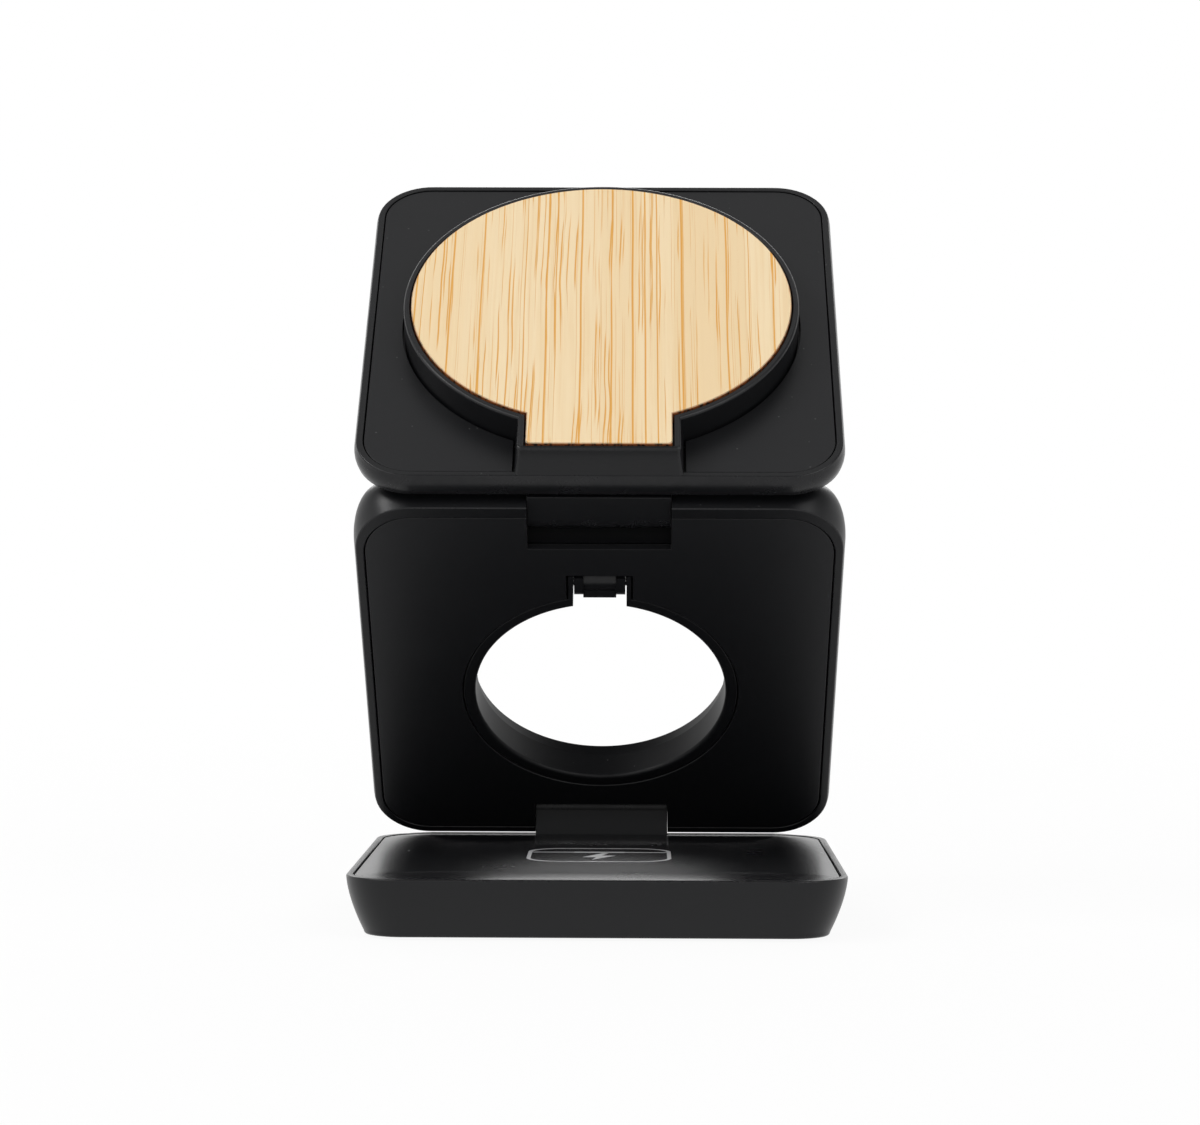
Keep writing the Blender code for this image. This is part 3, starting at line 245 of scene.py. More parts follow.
class ChargerFinishes(bpy.types.PropertyGroup):
    """The colours and finishes of the pieces."""

    shell_colour: colour("Housing", (0.0053, 0.0055, 0.0065), "Black of the moulded housings")
    shell_roughness: share("Housing Roughness", 0.34, "Roughness of the moulded housings")
    panel_colour: colour("Panel", (0.0074, 0.0076, 0.0088), "Black of the front panels")
    panel_roughness: share("Panel Roughness", 0.4, "Roughness of the front panels")
    deck_roughness: share("Deck Roughness", 0.27, "Roughness of the base's panel")
    ring_roughness: share("Ring Roughness", 0.46, "Roughness of the ring in the hole")
    # Partly wear and partly painted highlight: a lighter black for the narrow edge strips, standing in for the
    # light that their rounding catches.
    rubbed_highlit_colour: colour(
        "Rubbed Edge", (0.013, 0.013, 0.0142), "Tone of the plastic where hands rub the edges")
    rubber_colour: colour("Rubber", (0.012, 0.012, 0.012), "Tone of the foot pad")
    bamboo_light: colour("Bamboo Light", (0.98, 0.78, 0.495), "Lighter strips of the bamboo")
    bamboo_deep: colour("Bamboo Deep", (0.93, 0.7, 0.405), "Deeper strips of the bamboo")
    bamboo_fibre: colour("Bamboo Fibre", (0.82, 0.39, 0.058), "Fibres that show as thin streaks")
    bamboo_burnt: colour("Bamboo Edge", (0.34, 0.10, 0.025), "Edge browned by the laser")
    bamboo_scorched: colour("Bamboo Scorch", (0.03, 0.012, 0.006), "Darkest marks of the laser on that edge")
    print_colour: colour("Print", (0.42, 0.42, 0.43), "Grey of the printed earbud mark")
    copper_colour: colour("Copper", (0.72, 0.34, 0.16), "Enamelled copper of the coils")
    steel_colour: colour("Steel", (0.6, 0.6, 0.6), "Steel of pins, clips, screws and socket")
    nickel_colour: colour("Nickel", (0.75, 0.75, 0.76), "Nickel plating of the magnets")
    contact_colour: colour("Contacts", (0.82, 0.6, 0.25), "Gold plating of the socket's contacts")
    ferrite_colour: colour("Ferrite", (0.06, 0.06, 0.066), "Grey of the ferrite sheets")
    board_colour: colour("Board", (0.012, 0.09, 0.045), "Green of the circuit boards")
    film_colour: colour("Ribbon", (0.5, 0.25, 0.05), "Amber film of the power ribbon")
    cover_colour: colour("Puck Face", (0.72, 0.72, 0.72), "White of the watch puck's charging face")


class ChargerStudio(bpy.types.PropertyGroup):
    """The floor, the lights and the camera."""

    floor_half: length("Floor Half Width", 3.0, "Half the width of the floor")
    floor_front: length("Floor Front", 2.2, "How far the floor reaches in front")
    wall_back: length("Wall Distance", 1.6, "From the charger to the backdrop")
    wall_high: length("Wall Height", 2.4, "Height of the backdrop")
    wall_bend: length("Wall Bend", 0.5, "Radius of the bend between floor and backdrop")
    floor_colour: colour("Floor", (0.95, 0.95, 0.95), "Colour of the floor and backdrop")
    white_up_to: share("White Sky", 0.35, "How high above the horizon the sky shows as white")
    white_share: share("White Share", 0.93, "How much of the floor's look comes from its plain white")
    lamp_power: bpy.props.FloatProperty(
        name="Lamp Power", default=1.0, description="Scales all the lamps together", min=0.0)
    sky_level: share("Surrounding Light", 0.28, "Brightness of the light from all round")
    camera_place: bpy.props.FloatVectorProperty(
        name="Camera Place", default=(0.0058968, -0.5210976, 0.0609089),
        description="Where the camera stands", size=3, subtype="TRANSLATION", unit="LENGTH")
    camera_yaw: turn("Camera Yaw", -0.651, "How far the camera is turned sideways")
    camera_pitch: turn("Camera Pitch", 0.586, "How far the camera looks up")
    camera_roll: turn("Camera Roll", 0.191, "How far the camera leans")
    lens: bpy.props.FloatProperty(
        name="Lens", default=98.936, description="Focal length in millimetres", min=1.0,
        subtype="DISTANCE_CAMERA")


def arc(centre_x, centre_y, radius, start_deg, end_deg, steps):
    """Points on an arc, both ends included."""
    points = []
    for i in range(steps + 1):
        angle = math.radians(start_deg + (end_deg - start_deg) * i / steps)
        points.append((centre_x + radius * math.cos(angle), centre_y + radius * math.sin(angle)))
    return points


def square_outline(half_x, low_y, high_y, corner, steps=CORNER_STEPS):
    """A rectangle with round corners, anticlockwise."""
    right = half_x - corner
    points = arc(right, low_y + corner, corner, -90, 0, steps)
    points += arc(right, high_y - corner, corner, 0, 90, steps)
    points += arc(-right, high_y - corner, corner, 90, 180, steps)
    points += arc(-right, low_y + corner, corner, 180, 270, steps)
    return points


def circle_outline(centre_y, radius, steps=DISC_STEPS):
    return arc(0, centre_y, radius, 0, 360, steps)[:-1]


def at_height(points, z):
    return [Vector((x, y, z)) for x, y in points]


def bridge(shape, low, high):
    """Side faces between two loops of equally many vertices."""
    count = len(low)
    for i in range(count):
        j = (i + 1) % count
        shape.faces.new((low[i], low[j], high[j], high[i]))


def loft(rings):
    """A closed solid through a stack of rings."""
    shape = bmesh.new()
    loops = [[shape.verts.new(point) for point in ring] for ring in rings]
    for low, high in zip(loops, loops[1:]):
        bridge(shape, low, high)
    shape.faces.new(list(reversed(loops[0])))
    shape.faces.new(loops[-1])
    return shape


def tube(rings):
    """A ring-shaped solid: the last ring joins the first."""
    shape = bmesh.new()
    loops = [[shape.verts.new(point) for point in ring] for ring in rings]
    for low, high in zip(loops, loops[1:] + loops[:1]):
        bridge(shape, low, high)
    return shape


def prism(points, low, high):
    return loft([at_height(points, low), at_height(points, high)])


def side_prism(points, low_x, high_x):
    """An outline in Y and Z, pulled out along X."""
    return loft([[Vector((x, y, z)) for y, z in points] for x in (low_x, high_x)])


def block(half_x, low_y, high_y, low_z, high_z, centre_x=0.0):
    points = [(centre_x - half_x, low_y), (centre_x + half_x, low_y)]
    points += [(centre_x + half_x, high_y), (centre_x - half_x, high_y)]
    return prism(points, low_z, high_z)


def drum(centre_y, radius, low, high, steps=DISC_STEPS):
    return prism(circle_outline(centre_y, radius, steps), low, high)


def cross_rod(centre_y, centre_z, radius, half_length, steps=ROD_STEPS):
    """A cylinder along X, centred on the plate's middle."""
    return side_prism(arc(centre_y, centre_z, radius, 0, 360, steps)[:-1], -half_length, half_length)


def hoop(centre_y, radius, z):
    """A circle at one height."""
    return at_height(circle_outline(centre_y, radius), z)


def hoops(centre_y, radius, profile):
    """Circles about a radius, for a profile of outward distances and heights."""
    return [hoop(centre_y, radius + out, z) for out, z in profile]


def front_edge(half, front, corner):
    """The near edge of a strip, from its left corner to its right one, both rounded."""
    left = arc(corner - half, front + corner, corner, 180, 270, ROUND_STEPS)
    return left + arc(half - corner, front + corner, corner, 270, 360, ROUND_STEPS)


def rounded_top(radius, top, steps=ROUND_STEPS):
    """The profile of a rounded edge under a top face: outward distances and heights, from its foot up."""
    profile = []
    for i in range(steps + 1):
        angle = math.radians(90 * i / steps)
        profile.append((radius * (math.cos(angle) - 1), top - radius * (1 - math.sin(angle))))
    return profile


def rounded_bottom(radius, bottom, steps=ROUND_STEPS):
    """The same for a rounded edge over a bottom face."""
    return [(out, bottom - z) for out, z in reversed(rounded_top(radius, 0.0, steps))]


def mouth(radius, face):
    """The profile of a cutter that flares at a face, so that the edge it leaves is rounded."""
    return [(-out, z) for out, z in rounded_top(radius, face)] + [(radius, face + OVERRUN)]


def joint_place(name):
    """Where a hinge's axis crosses the middle of the charger."""
    for joint in frame["joints"]:
        if joint["name"] == name:
            return Vector(joint["pos_m"])
    raise RuntimeError(f"the frame has no joint named {name}")


BASE_TUCK_POWER = 1.6
MIDDLE_WAIST_SHARE = 0.3
CORNER_SQUARE_POWER = 1.5
PANEL_ROUND_SHARE = 0.35
CROWN_RINGS = 12
SOFT_EDGE = 0.00012
BEVEL_SEGMENTS = 2
FLAT_WEIGHT = 80


class Places:
    """Edges and heights worked out from the sizes, each in its own plate's frame."""

    def __init__(self, scene):
        p = self.plate = scene.charger_plate
        d = self.pad = scene.charger_pad
        h = self.hinge = scene.charger_hinge
        w = self.watch = scene.charger_watch
        s = self.socket = scene.charger_socket
        self.half_side = p.side / 2
        self.half_middle = p.middle_thick / 2
        self.notch_half = h.lug_width / 2 + h.side_gap
        self.middle_low = -h.lower_axis_in
        self.middle_high = p.side - h.lower_axis_in
        self.lower_notch_high = h.knuckle_radius + h.knuckle_clearance
        self.upper_pin_y = p.side - h.upper_axis_in - h.lower_axis_in
        self.upper_notch_low = self.upper_pin_y - self.lower_notch_high
        self.waist = self.half_middle * (1 - 2 * MIDDLE_WAIST_SHARE)
        self.middle_floor = p.wall - self.half_middle
        self.hole_y = w.hole_height - h.lower_axis_in
        self.watch_pin_y = w.axis_height - h.lower_axis_in
        self.watch_pin_z = self.half_middle - w.axis_depth
        self.collar_top = self.half_middle - w.collar_drop
        self.collar_low = self.collar_top - w.collar_depth
        self.boss_top = self.collar_low - p.seat_gap
        self.notch_top = self.hole_y + w.notch_reach
        self.under_panel = self.half_middle - p.panel_drop - p.panel_thick - p.seat_gap
        self.top_low = -h.upper_axis_in
        self.top_high = p.side - h.upper_axis_in
        self.top_back = self.half_middle + p.seat_gap
        self.top_face = self.top_back + p.top_thick
        self.pad_top = self.top_face + d.height
        self.pad_y = self.half_side - h.upper_axis_in
        self.pad_seat = self.pad_top + d.inlay_rise - d.inlay_thick - p.seat_gap
        self.lug_front = self.top_low + 2 * d.neck_set_back + p.seat_gap
        self.lug_rear = self.lug_front + h.root_depth + d.neck_set_back
        self.puck_y = w.axis_height - w.hole_height
        self.root_rear = self.half_side - h.root_set_in
        self.root_front = self.root_rear - h.root_depth
        self.cavity_floor = p.foot_thick + p.seat_gap + p.wall
        board_top = max(corner.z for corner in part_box("main_board"))
        self.base_lug_low = board_top + 2 * p.seat_gap
        self.port_z = sum(corner.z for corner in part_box("usb_c_socket")) / 2
        self.port_rear = max(corner.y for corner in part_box("usb_c_socket"))
        self.port_front = self.port_rear - s.depth
        self.base = Matrix.Identity(4)
        lean = math.pi - p.middle_open
        rise = lean + p.top_open - math.pi
        swing = lean + p.watch_open - math.pi
        self.middle = Matrix.Translation(joint_place("base_fold")) @ Matrix.Rotation(lean, 4, "X")
        self.top = Matrix.Translation(joint_place("top_fold")) @ Matrix.Rotation(rise, 4, "X")
        self.puck = Matrix.Translation(joint_place("watch_flip")) @ Matrix.Rotation(swing, 4, "X")

    def ring(self, low_edge, outset, z, short=0.0, squared=0.0):
        """A plate's outline at one height: grown all round, short at its upper edge, its corners squared."""
        high_edge = low_edge + self.plate.side
        corner = max(self.plate.corner + outset, self.plate.edge_round) * (1 - squared)
        low, high = low_edge - outset, high_edge + outset - short
        return at_height(square_outline(self.half_side + outset, low, high, corner), z)

    def panel(self, low_edge, face, short=0.0, swell=()):
        """An inset panel with a rounded front edge, flat or with a swell of inward distances and rises."""
        p = self.plate
        inset = p.rim_width + p.panel_play
        high = face - p.panel_drop
        rings = [self.ring(low_edge, -inset, high - p.panel_thick, short)]
        for out, z in rounded_top(p.edge_round * PANEL_ROUND_SHARE, high):
            rings.append(self.ring(low_edge, out - inset, z, short))
        for inward, rise in swell:
            rings.append(self.ring(low_edge, -inset - inward, high + min(rise, p.deck_tray), short))
            for corner in rings[-1]:
                ahead = min(1.0, max(0.0, -corner.y / self.half_side))
                corner.z += max(0.0, rise - p.deck_tray) * (1 - p.front_calm * ahead)
        return loft(rings)

    def pocket(self, low_edge, face, short=0.0):
        """The space that a panel sits in, with its mouth rounded, and the height of its ledge."""
        p = self.plate
        ledge = face - p.panel_drop - p.panel_thick - p.seat_gap
        rings = [self.ring(low_edge, -p.rim_width, ledge, short)]
        for grow, z in mouth(p.edge_round / 2, face):
            rings.append(self.ring(low_edge, grow - p.rim_width, z, short))
        return loft(rings), ledge

    def hinge_room(self, low_y, high_y):
        return block(self.notch_half, low_y, high_y, -self.plate.middle_thick, self.plate.middle_thick)


def add_mesh_object(name, shape):
    bmesh.ops.recalc_face_normals(shape, faces=shape.faces)
    mesh = bpy.data.meshes.new(name)
    shape.to_mesh(mesh)
    shape.free()
    thing = bpy.data.objects.new(name, mesh)
    bpy.context.scene.collection.objects.link(thing)
    return thing


def evaluated_mesh(thing):
    """The object's mesh with its modifiers applied."""
    bpy.context.view_layer.update()
    graph = bpy.context.evaluated_depsgraph_get()
    return bpy.data.meshes.new_from_object(
        thing.evaluated_get(graph), preserve_all_data_layers=True, depsgraph=graph)


def take_mesh(thing, mesh):
    """Gives an object a new mesh and drops its modifiers and its old mesh."""
    old = thing.data
    thing.modifiers.clear()
    thing.data = mesh
    bpy.data.meshes.remove(old)


def carve(name, shape, steps=(), edge=0.0):
    """Makes an object from a solid, cuts and joins other solids in order, and softens the sharp edges."""
    piece = add_mesh_object(name, shape)
    tools = []
    for operation, tool_shape in steps:
        tool = add_mesh_object(f"{name}_tool", tool_shape)
        tools.append(tool)
        modifier = piece.modifiers.new("Carve", "BOOLEAN")
        modifier.operation = operation
        modifier.solver = "EXACT"
        modifier.object = tool
    if edge:
        bevel = piece.modifiers.new("Soft Edges", "BEVEL")
        bevel.width = edge
        bevel.segments = BEVEL_SEGMENTS
        bevel.limit_method = "ANGLE"
        bevel.angle_limit = math.radians(BEVEL_FROM_DEG)
    take_mesh(piece, evaluated_mesh(piece))
    for tool in tools:
        mesh = tool.data
        bpy.data.objects.remove(tool)
        bpy.data.meshes.remove(mesh)
    return piece


def cuts(*shapes):
    return [("DIFFERENCE", shape) for shape in shapes]


def joins(*shapes):
    return [("UNION", shape) for shape in shapes]


def mark_edges(mesh):
    """Stores which faces are narrow strips along an edge, for the effect of worn edges with their painted
    highlight and for the burnt edge effect.
    """
    edge = mesh.attributes.new("edge_strip", "FLOAT", "FACE")
    for face in mesh.polygons:
        corners = [mesh.vertices[i].co for i in face.vertices]
        longest = max((a - b).length for a, b in zip(corners, corners[1:] + corners[:1]))
        width = 2 * face.area / max(longest, 1e-9) / (2 if len(corners) > 3 else 1)
        edge.data[face.index].value = 1.0 if width < NARROW_FACE else 0.0


def settle(at, piece, body, slot, look, *nodes):
    """Shades a piece, lays it where its body's plate stands, finishes it and hands it to the frame."""
    mesh = piece.data
    mesh.shade_smooth()
    mesh.set_sharp_from_angle(angle=math.radians(SHARP_DEG))
    weighted = piece.modifiers.new("Even Shading", "WEIGHTED_NORMAL")
    weighted.mode = "FACE_AREA"
    weighted.weight = FLAT_WEIGHT
    weighted.keep_sharp = True
    take_mesh(piece, evaluated_mesh(piece))
    mesh = piece.data
    mark_edges(mesh)
    mesh.transform(getattr(at, body))
    mesh.name = piece.name
    mesh.materials.clear()
    mesh.materials.append(finish(look))
    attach(piece, body)
    if nodes:
        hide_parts(*nodes)


def base_inset(p, z):
    """How far the base's side lies inside the plate's outline at a height."""
    fall = (p.base_thick - z) / (p.base_thick - p.foot_proud)
    return p.base_tuck * fall ** BASE_TUCK_POWER


BASE_SIDE_RINGS = 18
MIDDLE_BACK_RINGS = 14
TOP_SIDE_RINGS = 10


def base_body(at):
    """The base's outside: a flat bottom, sides that swell to the rim, and a rounded rim with a rear lip."""
    p = at.plate
    low_edge = -at.half_side
    lowest = p.foot_proud + p.base_bottom_round
    rings = [at.ring(low_edge, out - base_inset(p, lowest), z)
             for out, z in rounded_bottom(p.base_bottom_round, p.foot_proud)]
    for i in range(1, BASE_SIDE_RINGS + 1):
        z = lowest + (p.base_thick - p.edge_round - lowest) * i / BASE_SIDE_RINGS
        rings.append(at.ring(low_edge, -base_inset(p, z), z))
    rings += [at.ring(low_edge, out, z) for out, z in rounded_top(p.edge_round, p.base_thick)[1:]]
    inset = p.edge_round + p.rear_lip_slope / 3
    rings.append(at.ring(low_edge, -inset, p.base_thick))
    for corner in (corner for ring in rings[-ROUND_STEPS - 1:] for corner in ring):
        along = (corner.y - at.half_side + p.rim_width) / (p.rim_width - inset)
        corner.z += p.rear_lip * min(1.0, max(0.0, along))
    rings.append(at.ring(low_edge, -inset - p.rear_lip_slope, p.base_thick))
    return loft(rings)


def socket_outline(at, grow):
    """The socket's flattened oval in X and Z, grown by a gap."""
    s = at.socket
    half_x = s.width / 2 + grow
    radius = s.height / 2 + grow
    points = arc(half_x - radius, 0, radius, -90, 90, CORNER_STEPS)
    points += arc(radius - half_x, 0, radius, 90, 270, CORNER_STEPS)
    return [(s.offset + x, at.port_z + z) for x, z in points]


def along_y(points, y):
    return [Vector((x, y, z)) for x, z in points]


def build_base_housing(at):
    """The base's hollow housing, with its socket hole and the slot for the lower lug's root."""
    p = at.plate
    low_edge = -at.half_side
    pocket, ledge = at.pocket(low_edge, p.base_thick)
    inner = p.rim_width + p.ledge_width
    cavity = loft([
        at.ring(low_edge, -p.wall - base_inset(p, at.cavity_floor), at.cavity_floor),
        at.ring(low_edge, -inner, ledge - p.ledge_width),
        at.ring(low_edge, -inner, ledge + OVERRUN),
    ])
    foot_half = p.foot_side / 2 + p.seat_gap
    foot_room = prism(square_outline(foot_half, -foot_half, foot_half, p.foot_corner), -OVERRUN,
                      p.foot_thick + p.seat_gap)
    lug_slot = block(at.notch_half, at.root_front - p.seat_gap, at.root_rear + p.seat_gap,
                     at.base_lug_low - p.seat_gap, p.base_thick + OVERRUN)
    socket_hole = loft([along_y(socket_outline(at, at.socket.room), y)
                        for y in (at.half_side - p.corner, at.half_side + OVERRUN)])
    housing = carve("base_housing", base_body(at),
                    cuts(pocket, cavity, foot_room, lug_slot, socket_hole), SOFT_EDGE)
    settle(at, housing, "base", "black_shell", "housing", "base_shell")


def deck_swell(p):
    """The soft ridge round the base's panel and the shallow tray inside it, as inward distances and rises."""
    shares = [i / CROWN_RINGS for i in range(1, CROWN_RINGS + 1)]
    depth = p.deck_crown - p.deck_tray
    swell = [(share, p.deck_crown * (1 - (1 - share) ** 2)) for share in shares]
    swell += [(1 + share, p.deck_crown - depth * share * share * (3 - 2 * share)) for share in shares]
    return [(p.edge_round + p.crown_width * way, rise) for way, rise in swell]


def build_base_deck(at):
    """The panel that closes the base and carries the earbuds' case."""
    p = at.plate
    notch = block(at.notch_half, at.root_front - p.seat_gap, at.half_side + OVERRUN,
                  p.base_thick - p.panel_thick - OVERRUN, p.base_thick + OVERRUN)
    panel = at.panel(-at.half_side, p.base_thick, 0.0, deck_swell(p))
    deck = carve("base_deck", panel, cuts(notch), SOFT_EDGE)
    settle(at, deck, "base", "black_panel", "deck", "base_top_panel")


def build_foot(at):
    """The rubber mat under the base, with a softened lower edge."""
    p = at.plate
    half = p.foot_side / 2
    profile = rounded_bottom(p.edge_round, 0.0) + [(0, p.foot_thick)]
    foot = carve("rubber_foot", loft([
        at_height(square_outline(half + out, -half - out, half + out, p.foot_corner), z) for out, z in profile
    ]))
    settle(at, foot, "base", "foot_rubber", "rubber", "foot_pad")


CONTACT_COUNT = 12
CONTACT_SHARE = 0.55
CONTACT_LENGTH_SHARE = 0.7
CONTACT_RAISE = 0.00003
CONTACT_SINK_SHARE = 1 / 6


def build_socket(at):
    """The power socket's rolled steel shell."""
    s = at.socket
    lip = s.shell / 2
    front, rear = at.port_front, at.port_rear
    outside = [along_y(socket_outline(at, -grow), y) for grow, y in (
        (lip, front), (0, front + lip), (0, rear - lip), (lip / 2, rear - lip / 3), (lip, rear))]
    inside = [along_y(socket_outline(at, grow - s.shell), y) for grow, y in (
        (0, front + s.shell), (0, rear - lip), (lip / 2, rear - lip / 3), (lip, rear), (lip, rear + OVERRUN))]
    shell = carve("power_socket", loft(outside), cuts(loft(inside)))
    settle(at, shell, "base", "socket_steel", "steel", "usb_c_socket")


def build_tongue(at):
    """The socket's contact tongue, chamfered at its tip, with a row of contacts above and below."""
    s = at.socket
    lip = s.shell / 2
    tip = at.port_front + s.shell + s.tongue_length
    half_thick = s.tongue_thick / 2
    sides = []
    for shrink, y in ((0, at.port_front + lip), (0, tip - lip), (lip, tip)):
        half = s.tongue_width / 2 - shrink
        low, high = at.port_z - half_thick + shrink / 2, at.port_z + half_thick - shrink / 2
        left, right = s.offset - half, s.offset + half
        sides.append(along_y([(left, low), (right, low), (right, high), (left, high)], y))
    settle(at, carve("socket_tongue", loft(sides)), "base", "black_shell", "housing")

    contacts = bmesh.new()
    pitch = s.tongue_width / (CONTACT_COUNT + 1)
    for i in range(CONTACT_COUNT):
        x = s.offset - s.tongue_width / 2 + pitch * (i + 1)
        for side in (-1, 1):
            near = at.port_z + side * (half_thick - at.plate.edge_round * CONTACT_SINK_SHARE)
            far = at.port_z + side * (half_thick + CONTACT_RAISE)
            add_shape(contacts, block(pitch * CONTACT_SHARE / 2, tip - s.tongue_length * CONTACT_LENGTH_SHARE,
                                      tip - lip, min(near, far), max(near, far), x))
    settle(at, carve("socket_contacts", contacts), "base", "socket_steel", "contact")


def add_shape(shape, extra):
    """Adds one bmesh's faces to another."""
    mesh = bpy.data.meshes.new("extra")
    extra.to_mesh(mesh)
    extra.free()
    shape.from_mesh(mesh)
    bpy.data.meshes.remove(mesh)


BOLT_OUTLINE = ((0.58, 1.0), (0.0, 0.40), (0.42, 0.40), (0.30, 0.0), (1.0, 0.64), (0.56, 0.64), (0.78, 1.0))
LID_SHARE = 0.70
LATCH_SHARE = 0.36
BOLT_WIDTH_SHARE = 0.225
BOLT_HEIGHT_SHARE = 0.47
BOLT_FOOT_SHARE = 0.15


def build_earbud_mark(at):
    """The printed outline of an earbuds' case, with its lid line and a charging bolt."""
    p, s = at.plate, at.socket
    top = p.base_thick - p.panel_drop + p.deck_tray
    low, high = top - s.mark_raise, top + s.mark_raise
    near = s.mark_front - at.half_side
    half = s.mark_width / 2
    line = s.mark_line
    outer = square_outline(half, near, near + s.mark_height, s.mark_corner)
    inner = square_outline(half - line, near + line, near + s.mark_height - line, s.mark_corner - line)
    mark = tube([at_height(outer, low), at_height(outer, high),
                 at_height(inner, high), at_height(inner, low)])
    lid = near + s.mark_height * LID_SHARE
    latch = s.mark_width * LATCH_SHARE / 2
    for side in (1, -1):
        add_shape(mark, block((half - line / 2 - latch) / 2, lid - line / 2, lid + line / 2, low, high,
                              side * (half - line / 2 + latch) / 2))
    add_shape(mark, prism(square_outline(latch, lid - line, lid + line, line / 2), low, high))
    width, height = s.mark_width * BOLT_WIDTH_SHARE, s.mark_height * BOLT_HEIGHT_SHARE
    foot = near + s.mark_height * BOLT_FOOT_SHARE
    bolt = [(width * (u - 0.5), foot + height * v) for u, v in BOLT_OUTLINE]
    add_shape(mark, prism(bolt, low, high))
    settle(at, carve("earbud_mark", mark), "base", "black_panel", "print")


def middle_outset(at, z):
    """How far the middle plate's side stands outside the rim's outline at a height."""
    p = at.plate
    if z > at.waist:
        rise = (z - at.waist) / (at.half_middle - at.waist)
        return p.middle_bulge - (p.middle_bulge - p.middle_rim_lip) * rise ** 2
    fall = (at.waist - z) / (at.waist + at.half_middle)
    return p.middle_bulge - p.middle_back_round * (1 - math.sqrt(max(0.0, 1 - fall ** 2)))


def middle_body(at):
    """The middle plate's outer form, whose corners get squarer from the front rim to the back."""
    p = at.plate
    heights = []
    for i in range(MIDDLE_BACK_RINGS + 1):
        angle = math.radians(90 * i / MIDDLE_BACK_RINGS)
        heights.append(at.waist - (at.waist + at.half_middle) * math.cos(angle))
    for i in range(1, ROUND_STEPS + 1):
        heights.append(at.waist + (at.half_middle - p.middle_edge - at.waist) * i / ROUND_STEPS)
    rings = []
    for z in heights:
        squared = p.corner_squared * ((at.half_middle - z) / p.middle_thick) ** CORNER_SQUARE_POWER
        rings.append(at.ring(at.middle_low, middle_outset(at, z), z, 0.0, squared))
    for out, z in rounded_top(p.middle_edge, at.half_middle)[1:]:
        rings.append(at.ring(at.middle_low, p.middle_rim_lip + out, z))
    return loft(rings)


def middle_cavity(at, ledge, short):
    """The room inside the middle plate, with walls left round both hinges, the hole and the puck's notch."""
    p, h, w = at.plate, at.hinge, at.watch
    inner = p.rim_width + p.ledge_width
    soft = p.middle_back_round / 2
    cheek = at.notch_half + h.cheek_thick
    room = loft([
        at.ring(at.middle_low, -inner - soft, at.middle_floor),
        at.ring(at.middle_low, -inner, at.middle_floor + soft),
        at.ring(at.middle_low, -inner, ledge + OVERRUN, short),
    ])
    return taken_shape(carve("cavity", room, cuts(
        block(cheek, at.middle_low - OVERRUN, at.lower_notch_high + p.wall, -p.middle_thick, ledge),
        block(cheek, at.upper_notch_low - p.wall, at.middle_high + OVERRUN, -p.middle_thick, ledge),
        drum(at.hole_y, w.hole_radius + w.hole_flare + w.boss_wall, -p.middle_thick, at.boss_top),
        block(w.relief_radius / 2, at.hole_y, at.notch_top + p.wall, -p.middle_thick, at.boss_top),
    )))


def build_middle_housing(at):
    """The middle plate's housing: swollen sides, flared hole, both hinge notches and the puck's recess."""
    p, h, w = at.plate, at.hinge, at.watch
    short = p.middle_top_rim - p.rim_width
    pocket, ledge = at.pocket(at.middle_low, at.half_middle, short)
    lip = p.middle_bulge
    hole = [(w.hole_flare + lip, -at.half_middle - OVERRUN)]
    hole += [(w.hole_flare - out, z) for out, z in rounded_bottom(lip, -at.half_middle)]
    hole += [(w.hole_flare / 3, at.middle_floor), (w.hole_flare / 6, at.half_middle)]
    housing = carve("middle_housing", middle_body(at), cuts(
        pocket,
        middle_cavity(at, ledge, short),
        loft(hoops(at.hole_y, w.hole_radius, hole)),
        block(w.notch_width / 2, at.hole_y, at.notch_top, -p.middle_thick, p.middle_thick),
        drum(at.hole_y + w.relief_lift, w.relief_radius, -p.middle_thick, at.boss_top + p.seat_gap),
        at.hinge_room(at.middle_low - OVERRUN, at.lower_notch_high),
        at.hinge_room(at.upper_notch_low, at.middle_high + OVERRUN),
        cross_rod(0, 0, h.pin_radius, h.pin_half),
        cross_rod(at.upper_pin_y, 0, h.pin_radius, h.pin_half),
    ), SOFT_EDGE)
    settle(at, housing, "middle", "black_shell", "housing", "middle_shell")


def taken_shape(thing):
    """The mesh of a helper object as a bmesh; the object goes."""
    shape = bmesh.new()
    shape.from_mesh(thing.data)
    mesh = thing.data
    bpy.data.objects.remove(thing)
    bpy.data.meshes.remove(mesh)
    return shape


def build_middle_face(at):
    """The middle plate's front panel, open for the ring, the puck's notch and both hinges."""
    p, w = at.plate, at.watch
    short = p.middle_top_rim - p.rim_width
    low, high = at.half_middle - p.panel_thick - OVERRUN, at.half_middle + OVERRUN
    room = [(0, low)] + mouth(p.edge_round / 2, at.half_middle - p.panel_drop)
    slot = w.notch_width / 2 + w.notch_wall + p.panel_gap
    face = carve("middle_face", at.panel(at.middle_low, at.half_middle, short), cuts(
        loft(hoops(at.hole_y, w.collar_radius + p.panel_gap / 2, room)),
        block(slot, at.hole_y, at.notch_top - w.notch_wall, low, high),
        at.hinge_room(at.middle_low - OVERRUN, at.lower_notch_high),
        at.hinge_room(at.upper_notch_low, at.middle_high + OVERRUN),
    ), SOFT_EDGE)
    settle(at, face, "middle", "black_panel", "panel", "middle_front_panel")


RING_LIP_STEPS = 6


